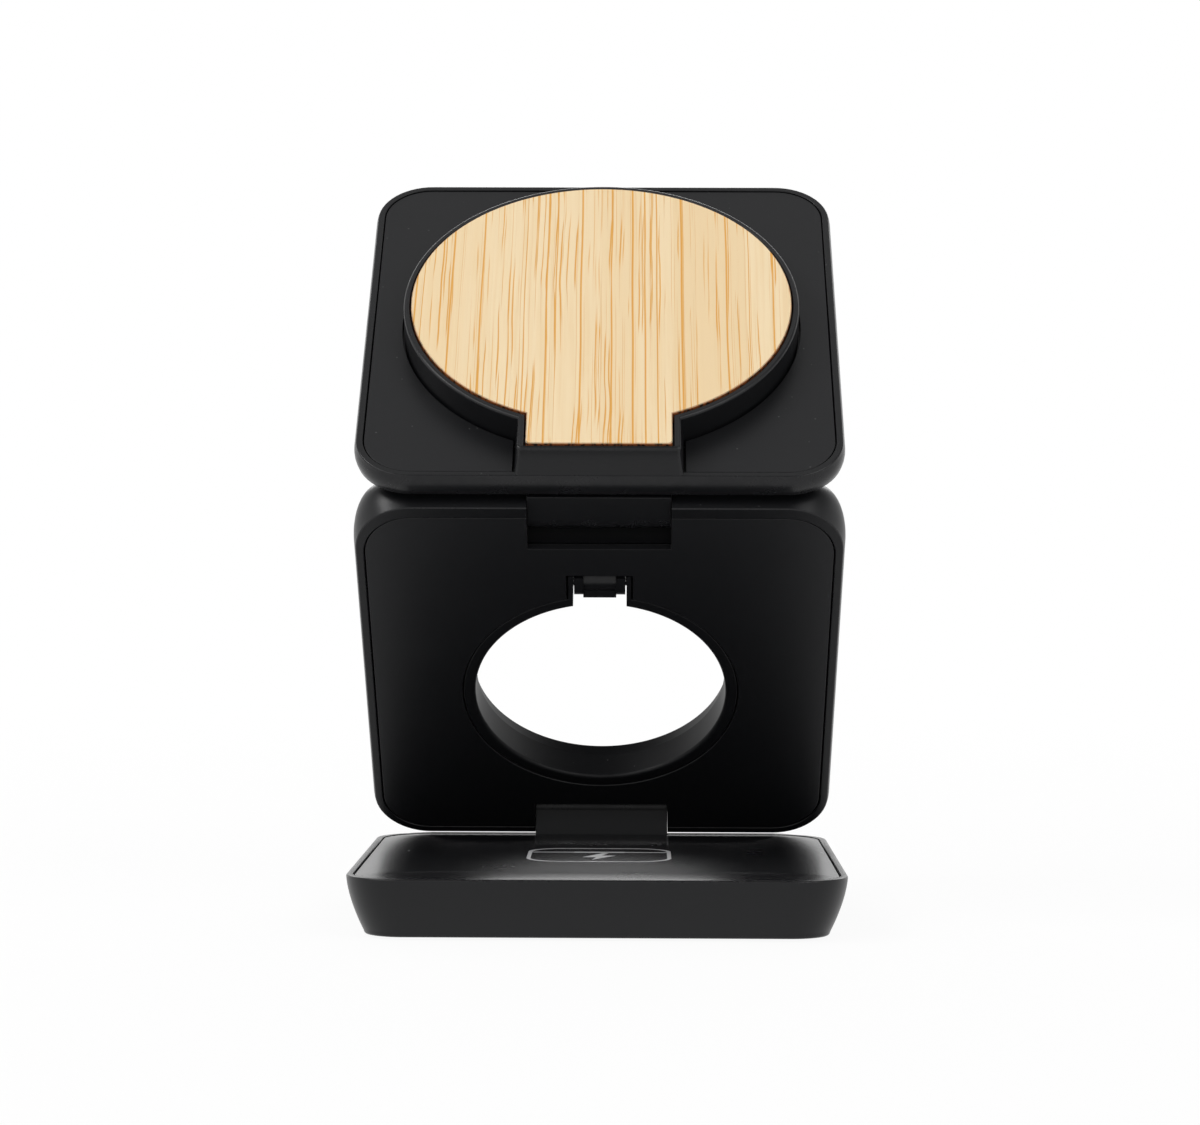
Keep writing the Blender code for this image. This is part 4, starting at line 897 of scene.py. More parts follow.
def build_hole_ring(at):
    """The ring that lines the hole, with the notch's walls and the ears that hold the puck's pin."""
    p, w = at.plate, at.watch
    top, low = at.collar_top, at.collar_low
    flange_low = top - w.collar_flange
    sleeve = w.hole_radius + w.collar_wall
    section = [(w.hole_radius, low), (sleeve, low), (sleeve, flange_low), (w.collar_radius, flange_low)]
    section += [(w.collar_radius + out, z) for out, z in rounded_top(p.edge_round / 2, top)]
    section += [(w.hole_radius - out, z) for out, z in reversed(rounded_top(w.ring_lip, top, RING_LIP_STEPS))]
    ring = tube([hoop(at.hole_y, radius, z) for radius, z in section])
    half = w.notch_width / 2
    outer = half + w.notch_wall
    liner = block(outer, at.hole_y + w.hole_radius - w.collar_wall, at.notch_top + w.notch_wall, low,
                  at.under_panel)
    lip = block(outer, at.hole_y + w.hole_radius, at.notch_top - w.notch_wall - p.panel_gap,
                at.under_panel - p.seat_gap, top)
    bore = drum(at.hole_y, w.hole_radius, low - OVERRUN, top - w.ring_lip)
    steps = joins(liner, lip) + cuts(bore, block(half, at.hole_y, at.notch_top, low - OVERRUN, top + OVERRUN))
    for side in (-1, 1):
        near, far = side * w.ear_spread / 2, side * (w.ear_spread / 2 + w.ear_thick)
        steps += joins(side_prism(ear_outline(at), min(near, far), max(near, far)))
    steps += cuts(cross_rod(at.watch_pin_y, at.watch_pin_z, w.pin_radius, outer + OVERRUN))
    settle(at, carve("hole_ring", ring, steps, SOFT_EDGE), "middle", "black_shell", "ring", "hole_collar")


def ear_outline(at):
    """An ear's side view: a round end about the pin and a root in the notch's upper wall."""
    p, w = at.plate, at.watch
    root = at.notch_top + w.notch_wall / 2
    shoulder = at.notch_top - w.notch_wall - 2 * p.panel_gap
    points = arc(at.watch_pin_y, at.watch_pin_z, w.ear_radius, 90, 270, ROD_STEPS // 2)
    points += [(shoulder, at.collar_low), (root, at.collar_low), (root, at.under_panel)]
    return points + [(shoulder, at.under_panel), (shoulder, at.watch_pin_z + w.ear_radius)]


def top_body(at):
    """The top plate's outer form, with sides that swell a little and both edges rounded."""
    p = at.plate
    low, high = at.top_back + p.edge_round, at.top_face - p.edge_round
    rings = [at.ring(at.top_low, out, z) for out, z in rounded_bottom(p.edge_round, at.top_back)]
    for i in range(1, TOP_SIDE_RINGS):
        rise = i / TOP_SIDE_RINGS
        rings.append(at.ring(at.top_low, p.top_bulge * (1 - (2 * rise - 1) ** 2), low + (high - low) * rise))
    rings += [at.ring(at.top_low, out, z) for out, z in rounded_top(p.edge_round, at.top_face)]
    return loft(rings)


def neck_body(at):
    """The neck below the pad, whose front leans back and whose sides flare towards the plate."""
    p, d = at.plate, at.pad
    floor = at.top_face - p.panel_drop - p.panel_thick - p.seat_gap - OVERRUN / 4
    low_half, high_half = d.neck_width / 2 + d.neck_flare, d.neck_width / 2
    foot_y, head_y = at.top_low + p.edge_round / 2, at.top_low + d.neck_set_back
    stations = [(low_half, at.top_low + p.edge_round, floor), (low_half, foot_y, at.top_face - p.edge_round)]
    low_z, high_z = at.top_face, at.pad_top - d.edge_round
    for i in range(ROUND_STEPS):
        rise = (i + 1) / (ROUND_STEPS + 1)
        curve = 1 - (1 - rise) ** 2
        stations.append((low_half + (high_half - low_half) * curve, foot_y + (head_y - foot_y) * curve,
                         low_z + (high_z - low_z) * rise))
    stations += [(high_half + out, head_y - out, z) for out, z in rounded_top(d.edge_round, at.pad_top)]
    rings = []
    for half, front, z in stations:
        points = front_edge(half, front, p.edge_round * 2) + [(half, at.pad_y), (-half, at.pad_y)]
        rings.append(at_height(points, z))
    return loft(rings)


def build_top_housing(at):
    """The top plate's housing with the pad's wall and neck, hollow behind for the charging coil."""
    p, h, d = at.plate, at.hinge, at.pad
    pocket, ledge = at.pocket(at.top_low, at.top_face)
    wall = [(0, ledge - OVERRUN / 4)] + rounded_top(d.edge_round, at.pad_top)
    seat = [(0, at.pad_seat)] + mouth(p.edge_round / 2, at.pad_top)
    room = d.radius - d.pad_wall
    neck_half = d.neck_width / 2 - d.neck_wall
    front = at.top_low + d.neck_set_back + d.front_wall
    neck_seat = []
    for grow, z in seat:
        half = neck_half + grow
        neck_seat.append(at_height([(-half, front - grow), (half, front - grow), (half, at.pad_y),
                                    (-half, at.pad_y)], z))
    coil_low, coil_high = at.top_back - OVERRUN, at.pad_seat - d.floor
    housing = carve("top_housing", top_body(at), [
        *cuts(pocket),
        *joins(loft(hoops(at.pad_y, d.radius, wall)), neck_body(at)),
        *cuts(
            loft(hoops(at.pad_y, room, seat)),
            loft(neck_seat),
            drum(at.pad_y, room - d.pad_wall, coil_low, coil_high),
            block(h.lug_width / 2 + p.seat_gap, at.top_low + 2 * d.neck_set_back, at.pad_y,
                  coil_low, coil_high),
            cover_shape(at, -p.panel_gap, coil_low, at.top_back + d.cover_thick + p.seat_gap),
        ),
    ], SOFT_EDGE)
    settle(at, housing, "top", "black_shell", "housing", "top_shell")


def cover_shape(at, inset, low, high, soft=0.0):
    """A slab with the back cover's outline, drawn in by an inset, with a lower edge that may be rounded."""
    d = at.pad
    rings = []
    for out, z in rounded_bottom(soft, low) if soft else [(0, low)]:
        edge = inset - out
        points = square_outline(at.half_side - d.cover_margin - edge, at.top_low + d.cover_margin + edge,
                                at.top_high - d.cover_margin - edge, d.cover_corner - edge)
        rings.append(at_height(points, z))
    rings.append(at_height(points, high))
    return loft(rings)


def build_top_cover(at):
    """The cover that closes the top plate from behind, slotted for the upper lug."""
    p, h, d = at.plate, at.hinge, at.pad
    slot = block(h.lug_width / 2 + p.seat_gap, -h.knuckle_radius, at.lug_rear + p.seat_gap,
                 at.top_back - OVERRUN, at.top_back + OVERRUN)
    slab = cover_shape(at, 0, at.top_back, at.top_back + d.cover_thick, p.edge_round / 2)
    cover = carve("top_cover", slab, cuts(slot), SOFT_EDGE)
    settle(at, cover, "top", "black_shell", "housing", "top_back_cover")


def build_top_face(at):
    """The top plate's front panel, cut out round the pad and its neck."""
    p, d = at.plate, at.pad
    low, high = at.top_face - p.panel_thick - OVERRUN, at.top_face + OVERRUN
    pad = drum(at.pad_y, d.radius + p.panel_gap, low, high)
    neck = block(d.neck_width / 2 + d.neck_flare + p.panel_gap, at.top_low - OVERRUN, at.pad_y, low, high)
    face = carve("top_face", at.panel(at.top_low, at.top_face), cuts(pad, neck), SOFT_EDGE)
    settle(at, face, "top", "black_panel", "panel", "top_front_panel")


BAMBOO_ROUND_SHARE = 0.5
SIDE_SLOPE = 0.3


def build_inlay(at):
    """The bamboo inlay: a disc with a tongue down the neck, cut by laser."""
    p, d = at.plate, at.pad
    high = at.pad_top + d.inlay_rise
    low = high - d.inlay_thick
    radius = d.radius - d.pad_wall - d.inlay_gap
    half = d.neck_width / 2 - d.neck_wall - d.inlay_gap
    front = at.top_low + d.neck_set_back + d.front_wall + d.inlay_gap
    rings = []
    for out, z in [(0, low)] + rounded_top(p.edge_round * BAMBOO_ROUND_SHARE, high):
        side = half + out
        meeting = math.degrees(math.acos(side / (radius + out)))
        points = front_edge(side, front - out, p.edge_round * 2)
        points += arc(0, at.pad_y, radius + out, -meeting, 180 + meeting, DISC_STEPS)
        rings.append(at_height(points, z))
    inlay = carve("bamboo_pad", loft(rings))
    sides = inlay.data.attributes.new("side_face", "FLOAT", "FACE")
    for face in inlay.data.polygons:
        sides.data[face.index].value = 1.0 if abs(face.normal.z) < SIDE_SLOPE else 0.0
    settle(at, inlay, "top", "bamboo", "bamboo", "bamboo_inlay")


KNUCKLE_ARC = (-30, 190)


def build_lower_knuckle(at):
    """The lower hinge's lug, rooted in the base, with a round knuckle."""
    p, h = at.plate, at.hinge
    centre = joint_place("base_fold")
    shoulder = p.base_thick + p.seat_gap
    points = [(at.root_front, at.base_lug_low), (at.root_rear, at.base_lug_low), (at.root_rear, shoulder),
              (at.half_side - p.edge_round, shoulder)]
    points += arc(centre.y, centre.z, h.knuckle_radius, *KNUCKLE_ARC, ROD_STEPS)
    points += [(at.root_front, shoulder)]
    bore = cross_rod(centre.y, centre.z, h.bore_radius, h.lug_width)
    half = at.notch_half - h.side_play
    lug = carve("lower_knuckle", side_prism(points, -half, half), cuts(bore), SOFT_EDGE)
    settle(at, lug, "base", "black_shell", "housing", "base_hinge_lug")


def build_upper_knuckle(at):
    """The upper hinge's lug, which hangs from the top plate into the middle plate's notch."""
    h = at.hinge
    shoulder = at.top_back - at.plate.seat_gap
    high = at.pad_seat - at.pad.floor - h.lug_sink
    points = arc(0, 0, h.knuckle_radius, 180, 360, ROD_STEPS)
    points += [(h.knuckle_radius, shoulder), (at.lug_rear, shoulder), (at.lug_rear, high),
               (at.lug_front, high), (at.lug_front, shoulder), (-h.knuckle_radius, shoulder)]
    bore = cross_rod(0, 0, h.bore_radius, h.lug_width)
    half = at.notch_half - h.side_play
    lug = carve("upper_knuckle", side_prism(points, -half, half), cuts(bore), SOFT_EDGE)
    settle(at, lug, "top", "black_shell", "housing", "top_hinge_lug")


PUCK_WALL = 0.0011
PUCK_ROUND_STEPS = 8
BARREL_ARC = (60, 250)
DISH_RINGS = 16


def build_puck(at):
    """The watch puck's housing with its arm."""
    p, w = at.plate, at.watch
    body = rounded_bottom(w.puck_round, -w.puck_low, PUCK_ROUND_STEPS)
    body += rounded_top(w.puck_round / 2, w.puck_high)
    near = at.puck_y - w.puck_radius
    root = near + 2 * PUCK_WALL
    lip = p.edge_round
    arm = arc(0, 0, w.barrel_radius, *BARREL_ARC, ROD_STEPS)
    arm += [(0, -w.arm_lip), (w.barrel_radius, lip - w.arm_lip), (w.barrel_radius, -w.arm_low)]
    arm += [(near, -w.puck_low), (root, lip - w.puck_low), (root, w.arm_high), (w.barrel_radius, w.arm_high)]
    seat = [(0, w.puck_high - w.cover_thick - p.seat_gap)] + mouth(lip / 2, w.puck_high)
    housing = carve("puck_housing", loft(hoops(at.puck_y, w.puck_radius, body)), [
        *joins(side_prism(arm, -w.arm_width / 2, w.arm_width / 2)),
        *cuts(
            loft(hoops(at.puck_y, w.cover_radius + p.panel_gap, seat)),
            drum(at.puck_y, w.cover_radius - PUCK_WALL, PUCK_WALL - w.puck_low, w.puck_high),
            cross_rod(0, 0, w.pin_radius, w.arm_width),
        ),
    ], SOFT_EDGE)
    settle(at, housing, "puck", "black_shell", "housing", "watch_puck_shell")


def build_puck_face(at):
    """The watch puck's charging face, with a shallow dish for the back of the watch."""
    p, w = at.plate, at.watch
    profile = [(0, w.puck_high - w.cover_thick)] + rounded_top(p.edge_round, w.puck_high)
    face = hoops(at.puck_y, w.cover_radius, profile)
    for i in range(1, DISH_RINGS):
        out = 1 - i / DISH_RINGS
        dip = w.dish * math.sqrt(1 - out ** 2)
        face.append(hoop(at.puck_y, (w.cover_radius - p.edge_round) * out, w.puck_high - dip))
    settle(at, carve("puck_face", loft(face)), "puck", "puck_cover", "puck_face", "watch_puck_cover")


FLOAT, VECTOR, COLOUR = "NodeSocketFloat", "NodeSocketVector", "NodeSocketColor"
MIX_FACTOR, MIX_FIRST, MIX_SECOND, MIX_RESULT = 0, 6, 7, 2
NODE_COLUMN, NODE_ROW = 220, 170
WHITE = (1.0, 1.0, 1.0)


def feed(tree, node, inputs):
    """Wires a node's inputs to other sockets, or gives them plain numbers, vectors and colours."""
    for key, value in inputs.items():
        socket = node.inputs[key]
        if isinstance(value, bpy.types.NodeSocket):
            tree.links.new(value, socket)
        elif isinstance(value, (int, float)) or len(value) == len(socket.default_value):
            socket.default_value = value
        else:
            socket.default_value = (*value, 1.0)


def add_node(tree, kind, inputs=None, **settings):
    """Adds a node, makes its settings and feeds its inputs."""
    made = tree.nodes.new(kind)
    for name, value in settings.items():
        setattr(made, name, value)
    feed(tree, made, inputs or {})
    return made


def math_node(tree, operation, *values):
    """A Math node whose inputs are sockets or plain numbers."""
    return add_node(tree, "ShaderNodeMath", dict(enumerate(values)), operation=operation).outputs["Value"]


def times(tree, first, second):
    return math_node(tree, "MULTIPLY", first, second)


def times_plus(tree, value, factor, start):
    """A value times a factor, with a start added."""
    return math_node(tree, "MULTIPLY_ADD", value, factor, start)


def mix_colour(tree, factor, first, second):
    """A colour mix whose inputs are sockets, numbers or colours."""
    inputs = {MIX_FACTOR: factor, MIX_FIRST: first, MIX_SECOND: second}
    return add_node(tree, "ShaderNodeMix", inputs, data_type="RGBA").outputs[MIX_RESULT]


def noise(tree, vector, scale, detail, roughness=0.5):
    inputs = {"Vector": vector, "Scale": scale, "Detail": detail, "Roughness": roughness}
    return add_node(tree, "ShaderNodeTexNoise", inputs).outputs["Fac"]


def ramp_between(tree, value, low, high):
    """A smooth step from nought to one between two values."""
    inputs = {"Value": value, "From Min": low, "From Max": high}
    return add_node(tree, "ShaderNodeMapRange", inputs, interpolation_type="SMOOTHSTEP").outputs["Result"]


def face_mark(tree, name):
    """A mark that was stored on the mesh's faces."""
    return add_node(tree, "ShaderNodeAttribute", attribute_name=name).outputs["Fac"]


def shade(tone, factor):
    return [channel * factor for channel in tone]


def lay_out(tree):
    """Stands a tree's nodes in columns, each to the left of the nodes that it feeds."""
    columns = {node: 0 for node in tree.nodes}
    moved = True
    while moved:
        moved = False
        for link in tree.links:
            if columns[link.from_node] <= columns[link.to_node]:
                columns[link.from_node] = columns[link.to_node] + 1
                moved = True
    taken = {}
    for node, column in columns.items():
        row = taken.get(column, 0)
        taken[column] = row + 1
        node.location = (-NODE_COLUMN * column, -NODE_ROW * row)


def new_group(name, inputs, outputs):
    """A shader node group with named inputs and outputs."""
    group = bpy.data.node_groups.new(name, "ShaderNodeTree")
    for title, kind, default in inputs:
        socket = group.interface.new_socket(title, in_out="INPUT", socket_type=kind)
        if default is not None:
            socket.default_value = default
    for title, kind in outputs:
        group.interface.new_socket(title, in_out="OUTPUT", socket_type=kind)
    return group, add_node(group, "NodeGroupInput").outputs, add_node(group, "NodeGroupOutput")


def place_group(tree, name, builder, **values):
    """Places a shared group in a material, building the group the first time."""
    group = bpy.data.node_groups.get(name)
    if group is None:
        group = builder(name)
        lay_out(group)
    return add_node(tree, "ShaderNodeGroup", values, node_tree=group).outputs


FINE_SHARE, SLOW_SHARE = 0.8, 0.35


def spark_texture(name):
    """Spark-eroded mould texture: fine pits over a slow unevenness, with a patchy sheen."""
    group, given, result = new_group(name, [
        ("Vector", VECTOR, None), ("Grain", FLOAT, 0.0002), ("Roughness", FLOAT, 0.5),
        ("Patchiness", FLOAT, 0.06),
    ], [("Height", FLOAT), ("Roughness", FLOAT)])
    vector = given["Vector"]
    grain_scale = math_node(group, "DIVIDE", 1.0, given["Grain"])
    fine = times(group, noise(group, vector, grain_scale, detail=2.0, roughness=0.55), FINE_SHARE)
    slow = times(group, noise(group, vector, scale=700.0, detail=2.0), SLOW_SHARE)
    patch = noise(group, vector, scale=90.0, detail=4.0, roughness=0.6)
    patch = math_node(group, "SUBTRACT", patch, 0.5)
    feed(group, result, {
        "Height": math_node(group, "ADD", fine, slow),
        "Roughness": times_plus(group, patch, given["Patchiness"], given["Roughness"]),
    })
    return group


RUBBED_SMOOTHER = 0.14


def rubbed_and_highlit_edges(name):
    """Lightens and smooths narrow edge strips, unevenly: wear where hands rub them, and a painted highlight
    along the rounded edges.
    """
    group, given, result = new_group(name, [
        ("Vector", VECTOR, None), ("Colour", COLOUR, None), ("Rubbed", COLOUR, None),
        ("Roughness", FLOAT, 0.5), ("Amount", FLOAT, 0.6),
    ], [("Colour", COLOUR), ("Roughness", FLOAT)])
    patch = noise(group, given["Vector"], scale=260.0, detail=4.0, roughness=0.65)
    # Mask of the edge strips that take the lighter colour: wear, and painted highlight where the rounded edges
    # catch the light.
    mask = times(group, face_mark(group, "edge_strip"), ramp_between(group, patch, low=0.25, high=0.7))
    mask = times(group, mask, given["Amount"])
    feed(group, result, {
        "Colour": mix_colour(group, mask, given["Colour"], given["Rubbed"]),
        "Roughness": times_plus(group, mask, -RUBBED_SMOOTHER, given["Roughness"]),
    })
    return group


DUST_TONE = (0.6, 0.6, 0.6)
DUST_RARITY = 0.9


def fine_dust(name):
    """A few pale specks of dust and lint, thicker on faces that look up."""
    group, given, result = new_group(name, [
        ("Vector", VECTOR, None), ("Colour", COLOUR, None), ("Amount", FLOAT, 0.05),
    ], [("Colour", COLOUR)])
    cells = {"Vector": given["Vector"], "Scale": 900.0}
    specks = add_node(group, "ShaderNodeTexVoronoi", cells, feature="F1").outputs
    mask = ramp_between(group, specks["Distance"], low=0.16, high=0.04)
    chance = add_node(group, "ShaderNodeSeparateColor", {"Color": specks["Color"]}).outputs["Red"]
    facing = add_node(group, "ShaderNodeNewGeometry").outputs["Normal"]
    upward = add_node(group, "ShaderNodeSeparateXYZ", {"Vector": facing}).outputs["Z"]
    rare = math_node(group, "GREATER_THAN", chance, DUST_RARITY)
    for part in (rare, ramp_between(group, upward, low=0.2, high=0.95), given["Amount"]):
        mask = times(group, mask, part)
    feed(group, result, {"Colour": mix_colour(group, mask, given["Colour"], DUST_TONE)})
    return group


LINE_STRETCH = (160.0, 5200.0, 5200.0)
LINE_ROUGHNESS = 0.2


def drawn_metal(name):
    """Fine lines left by drawing or grinding, as a height and an uneven roughness."""
    group, given, result = new_group(name, [
        ("Vector", VECTOR, None), ("Roughness", FLOAT, 0.3),
    ], [("Height", FLOAT), ("Roughness", FLOAT)])
    stretch = {"Vector": given["Vector"], "Scale": LINE_STRETCH}
    stretched = add_node(group, "ShaderNodeMapping", stretch).outputs["Vector"]
    lines = noise(group, stretched, scale=1.0, detail=2.0)
    shift = math_node(group, "SUBTRACT", lines, 0.5)
    feed(group, result, {
        "Height": lines,
        "Roughness": times_plus(group, shift, LINE_ROUGHNESS, given["Roughness"]),
    })
    return group


def new_material(name):
    """A material with its tree, its Principled shader and the object's coordinates."""
    material = bpy.data.materials.new(name)
    material.use_nodes = True
    tree = material.node_tree
    place = add_node(tree, "ShaderNodeTexCoord").outputs["Object"]
    return material, tree, tree.nodes["Principled BSDF"], place


def add_bump(tree, shader, height, depth):
    bump = add_node(tree, "ShaderNodeBump", {"Height": height, "Distance": depth})
    feed(tree, shader, {"Normal": bump.outputs["Normal"]})


def moulded(name, base, worn_highlit_tone, roughness, grain, depth, patchiness, dust, specular=0.28):
    """A moulded plastic or rubber finish from the shared effects."""
    material, tree, shader, place = new_material(name)
    texture = place_group(tree, "Mould Texture", spark_texture, Vector=place, Grain=grain,
                          Roughness=roughness, Patchiness=patchiness)
    # Edge strips drawn lighter and smoother: partly wear, partly painted highlight.
    edges = place_group(tree, "Rubbed Edges", rubbed_and_highlit_edges, Vector=place, Colour=base, Rubbed=worn_highlit_tone,
                        Roughness=texture["Roughness"])
    specks = place_group(tree, "Fine Dust", fine_dust, Vector=place, Colour=edges["Colour"], Amount=dust)
    feed(tree, shader, {
        "Base Color": specks["Colour"],
        "Roughness": edges["Roughness"],
        "Specular IOR Level": specular,
    })
    add_bump(tree, shader, texture["Height"], depth)
    return material


def housing_finish(f):
    return moulded("Moulded Black", f.shell_colour, f.rubbed_highlit_colour, f.shell_roughness,
                   grain=0.00016, depth=0.000006, patchiness=0.05, dust=0.12)


def panel_finish(f):
    return moulded("Panel Black", f.panel_colour, f.rubbed_highlit_colour, f.panel_roughness,
                   grain=0.00022, depth=0.000008, patchiness=0.06, dust=0.15)


def deck_finish(f):
    """The base's panel: the same black, but smoother, so that it mirrors what stands on it."""
    return moulded("Deck Black", f.panel_colour, f.rubbed_highlit_colour, f.deck_roughness,
                   grain=0.00022, depth=0.0000008, patchiness=0.02, dust=0.15)


def ring_finish(f):
    return moulded("Ring Black", f.shell_colour, f.rubbed_highlit_colour, f.ring_roughness,
                   grain=0.00016, depth=0.000006, patchiness=0.05, dust=0.12, specular=0.2)


def rubber_finish(f):
    return moulded("Foot Rubber", f.rubber_colour, f.rubbed_highlit_colour, roughness=0.75,
                   grain=0.0004, depth=0.00002, patchiness=0.1, dust=0.3, specular=0.3)


def print_finish(f):
    """Grey ink with a slightly broken surface."""
    material, tree, shader, place = new_material("Grey Print")
    texture = place_group(tree, "Mould Texture", spark_texture, Vector=place, Grain=0.00018,
                          Roughness=0.55, Patchiness=0.1)
    thin = ramp_between(tree, texture["Height"], low=0.25, high=0.5)
    feed(tree, shader, {
        "Base Color": mix_colour(tree, thin, shade(f.print_colour, 0.6), f.print_colour),
        "Roughness": texture["Roughness"],
    })
    add_bump(tree, shader, texture["Height"], depth=0.000005)
    return material


def puck_face_finish(f):
    """Smooth white plastic with a faint haze of fine scratches."""
    material, tree, shader, place = new_material("Puck White")
    texture = place_group(tree, "Mould Texture", spark_texture, Vector=place, Grain=0.0004,
                          Roughness=0.28, Patchiness=0.16)
    # Along its edge strips the white face is drawn at 0.8 of its tone, darker along the edges.
    edges = place_group(tree, "Rubbed Edges", rubbed_and_highlit_edges, Vector=place, Colour=f.cover_colour,
                        Rubbed=shade(f.cover_colour, 0.8), Roughness=texture["Roughness"])
    feed(tree, shader, {"Base Color": edges["Colour"], "Roughness": edges["Roughness"]})
    add_bump(tree, shader, texture["Height"], depth=0.000002)
    return material


def metal(name, tone, roughness, depth):
    """A drawn, ground or plated metal."""
    material, tree, shader, place = new_material(name)
    drawn = place_group(tree, "Drawn Metal", drawn_metal, Vector=place, Roughness=roughness)
    tarnish = noise(tree, place, scale=400.0, detail=4.0, roughness=0.6)
    tarnish = ramp_between(tree, tarnish, low=0.3, high=0.75)
    feed(tree, shader, {
        "Base Color": mix_colour(tree, tarnish, tone, shade(tone, 0.82)),
        "Metallic": 1.0,
        "Roughness": drawn["Roughness"],
    })
    add_bump(tree, shader, drawn["Height"], depth)
    return material


def steel_finish(f):
    return metal("Drawn Steel", f.steel_colour, roughness=0.3, depth=0.000004)


def nickel_finish(f):
    return metal("Nickel Plate", f.nickel_colour, roughness=0.2, depth=0.000002)


def contact_finish(f):
    return metal("Gold Contacts", f.contact_colour, roughness=0.25, depth=0.000002)


def copper_finish(f):
    """Windings of enamelled wire, drawn as fine rings about the coil's middle."""
    material, tree, shader, place = new_material("Coil Copper")
    turns = add_node(tree, "ShaderNodeTexWave", {"Vector": place, "Scale": 520.0, "Distortion": 0.4},
                     wave_type="RINGS", rings_direction="SPHERICAL").outputs["Fac"]
    strands = noise(tree, place, scale=2600.0, detail=2.0)
    feed(tree, shader, {
        "Base Color": mix_colour(tree, turns, shade(f.copper_colour, 0.35), f.copper_colour),
        "Metallic": 1.0,
        "Roughness": times_plus(tree, strands, factor=0.25, start=0.2),
        "Coat Weight": 0.4,
    })
    add_bump(tree, shader, turns, depth=0.00008)
    return material


def ferrite_finish(f):
    """Sintered ferrite under clear film: dark grey with fine pale grains and crack lines."""
    material, tree, shader, place = new_material("Ferrite Sheet")
    tone = f.ferrite_colour
    cracks = add_node(tree, "ShaderNodeTexVoronoi", {"Vector": place, "Scale": 420.0},
                      feature="DISTANCE_TO_EDGE").outputs["Distance"]
    line = ramp_between(tree, cracks, low=0.0, high=0.05)
    grain = noise(tree, place, scale=5000.0, detail=2.0)
    body = mix_colour(tree, ramp_between(tree, grain, low=0.55, high=0.75), tone, shade(tone, 2.2))
    feed(tree, shader, {
        "Base Color": mix_colour(tree, line, shade(tone, 0.4), body),
        "Roughness": times_plus(tree, grain, factor=0.3, start=0.4),
    })
    add_bump(tree, shader, line, depth=0.00001)
    return material


TIN_TONE = (0.62, 0.6, 0.55)
PAD_RARITY = 0.72


def board_finish(f):
    """Green solder mask over copper tracks, with tinned pads."""
    material, tree, shader, place = new_material("Circuit Board")
    tone = f.board_colour
    tracks = add_node(tree, "ShaderNodeTexBrick", {"Vector": place, "Scale": 260.0, "Mortar Size": 0.05})
    pads = add_node(tree, "ShaderNodeTexVoronoi", {"Vector": place, "Scale": 520.0, "Randomness": 0.55},
                    feature="F1", distance="CHEBYCHEV").outputs
    chance = add_node(tree, "ShaderNodeSeparateColor", {"Color": pads["Color"]}).outputs["Green"]
    tinned = times(tree, ramp_between(tree, pads["Distance"], low=0.22, high=0.2),
                   math_node(tree, "GREATER_THAN", chance, PAD_RARITY))
    track = ramp_between(tree, tracks.outputs["Fac"], low=0.3, high=0.7)
    mask = mix_colour(tree, track, tone, shade(tone, 1.9))
    feed(tree, shader, {
        "Base Color": mix_colour(tree, tinned, mask, TIN_TONE),
        "Metallic": tinned,
        "Roughness": times_plus(tree, tinned, factor=-0.1, start=0.38),
    })
    add_bump(tree, shader, track, depth=0.00002)
    return material


def film_finish(f):
    """Amber polyimide film with the copper strips of the ribbon showing through."""
    material, tree, shader, place = new_material("Ribbon Film")
    strips = add_node(tree, "ShaderNodeTexWave", {"Vector": place, "Scale": 320.0, "Distortion": 0.0},
                      bands_direction="X").outputs["Fac"]
    strip = ramp_between(tree, strips, low=0.35, high=0.55)
    haze = noise(tree, place, scale=800.0, detail=3.0)
    feed(tree, shader, {
        "Base Color": mix_colour(tree, strip, shade(f.film_colour, 0.55), f.film_colour),
        "Roughness": times_plus(tree, haze, factor=0.2, start=0.2),
    })
    add_bump(tree, shader, strip, depth=0.00002)
    return material


# Widths across the grain, in metres.
STRIP_WIDTH = 0.0058
GRAIN_WIDTH = 0.0009
CLUSTER_WIDTH = 0.006
BEND = 0.0009
# How far apart the streaks' lanes lie in their noise, and a streak's least width, so that nothing is
# divided by nought.
LANE_SHIFT = 37.0
LEAST_REACH = 0.001
STREAK_SHARE = 0.97
HAIR_SHARE = 0.6
EDGE_BURN_SHARE = 0.6


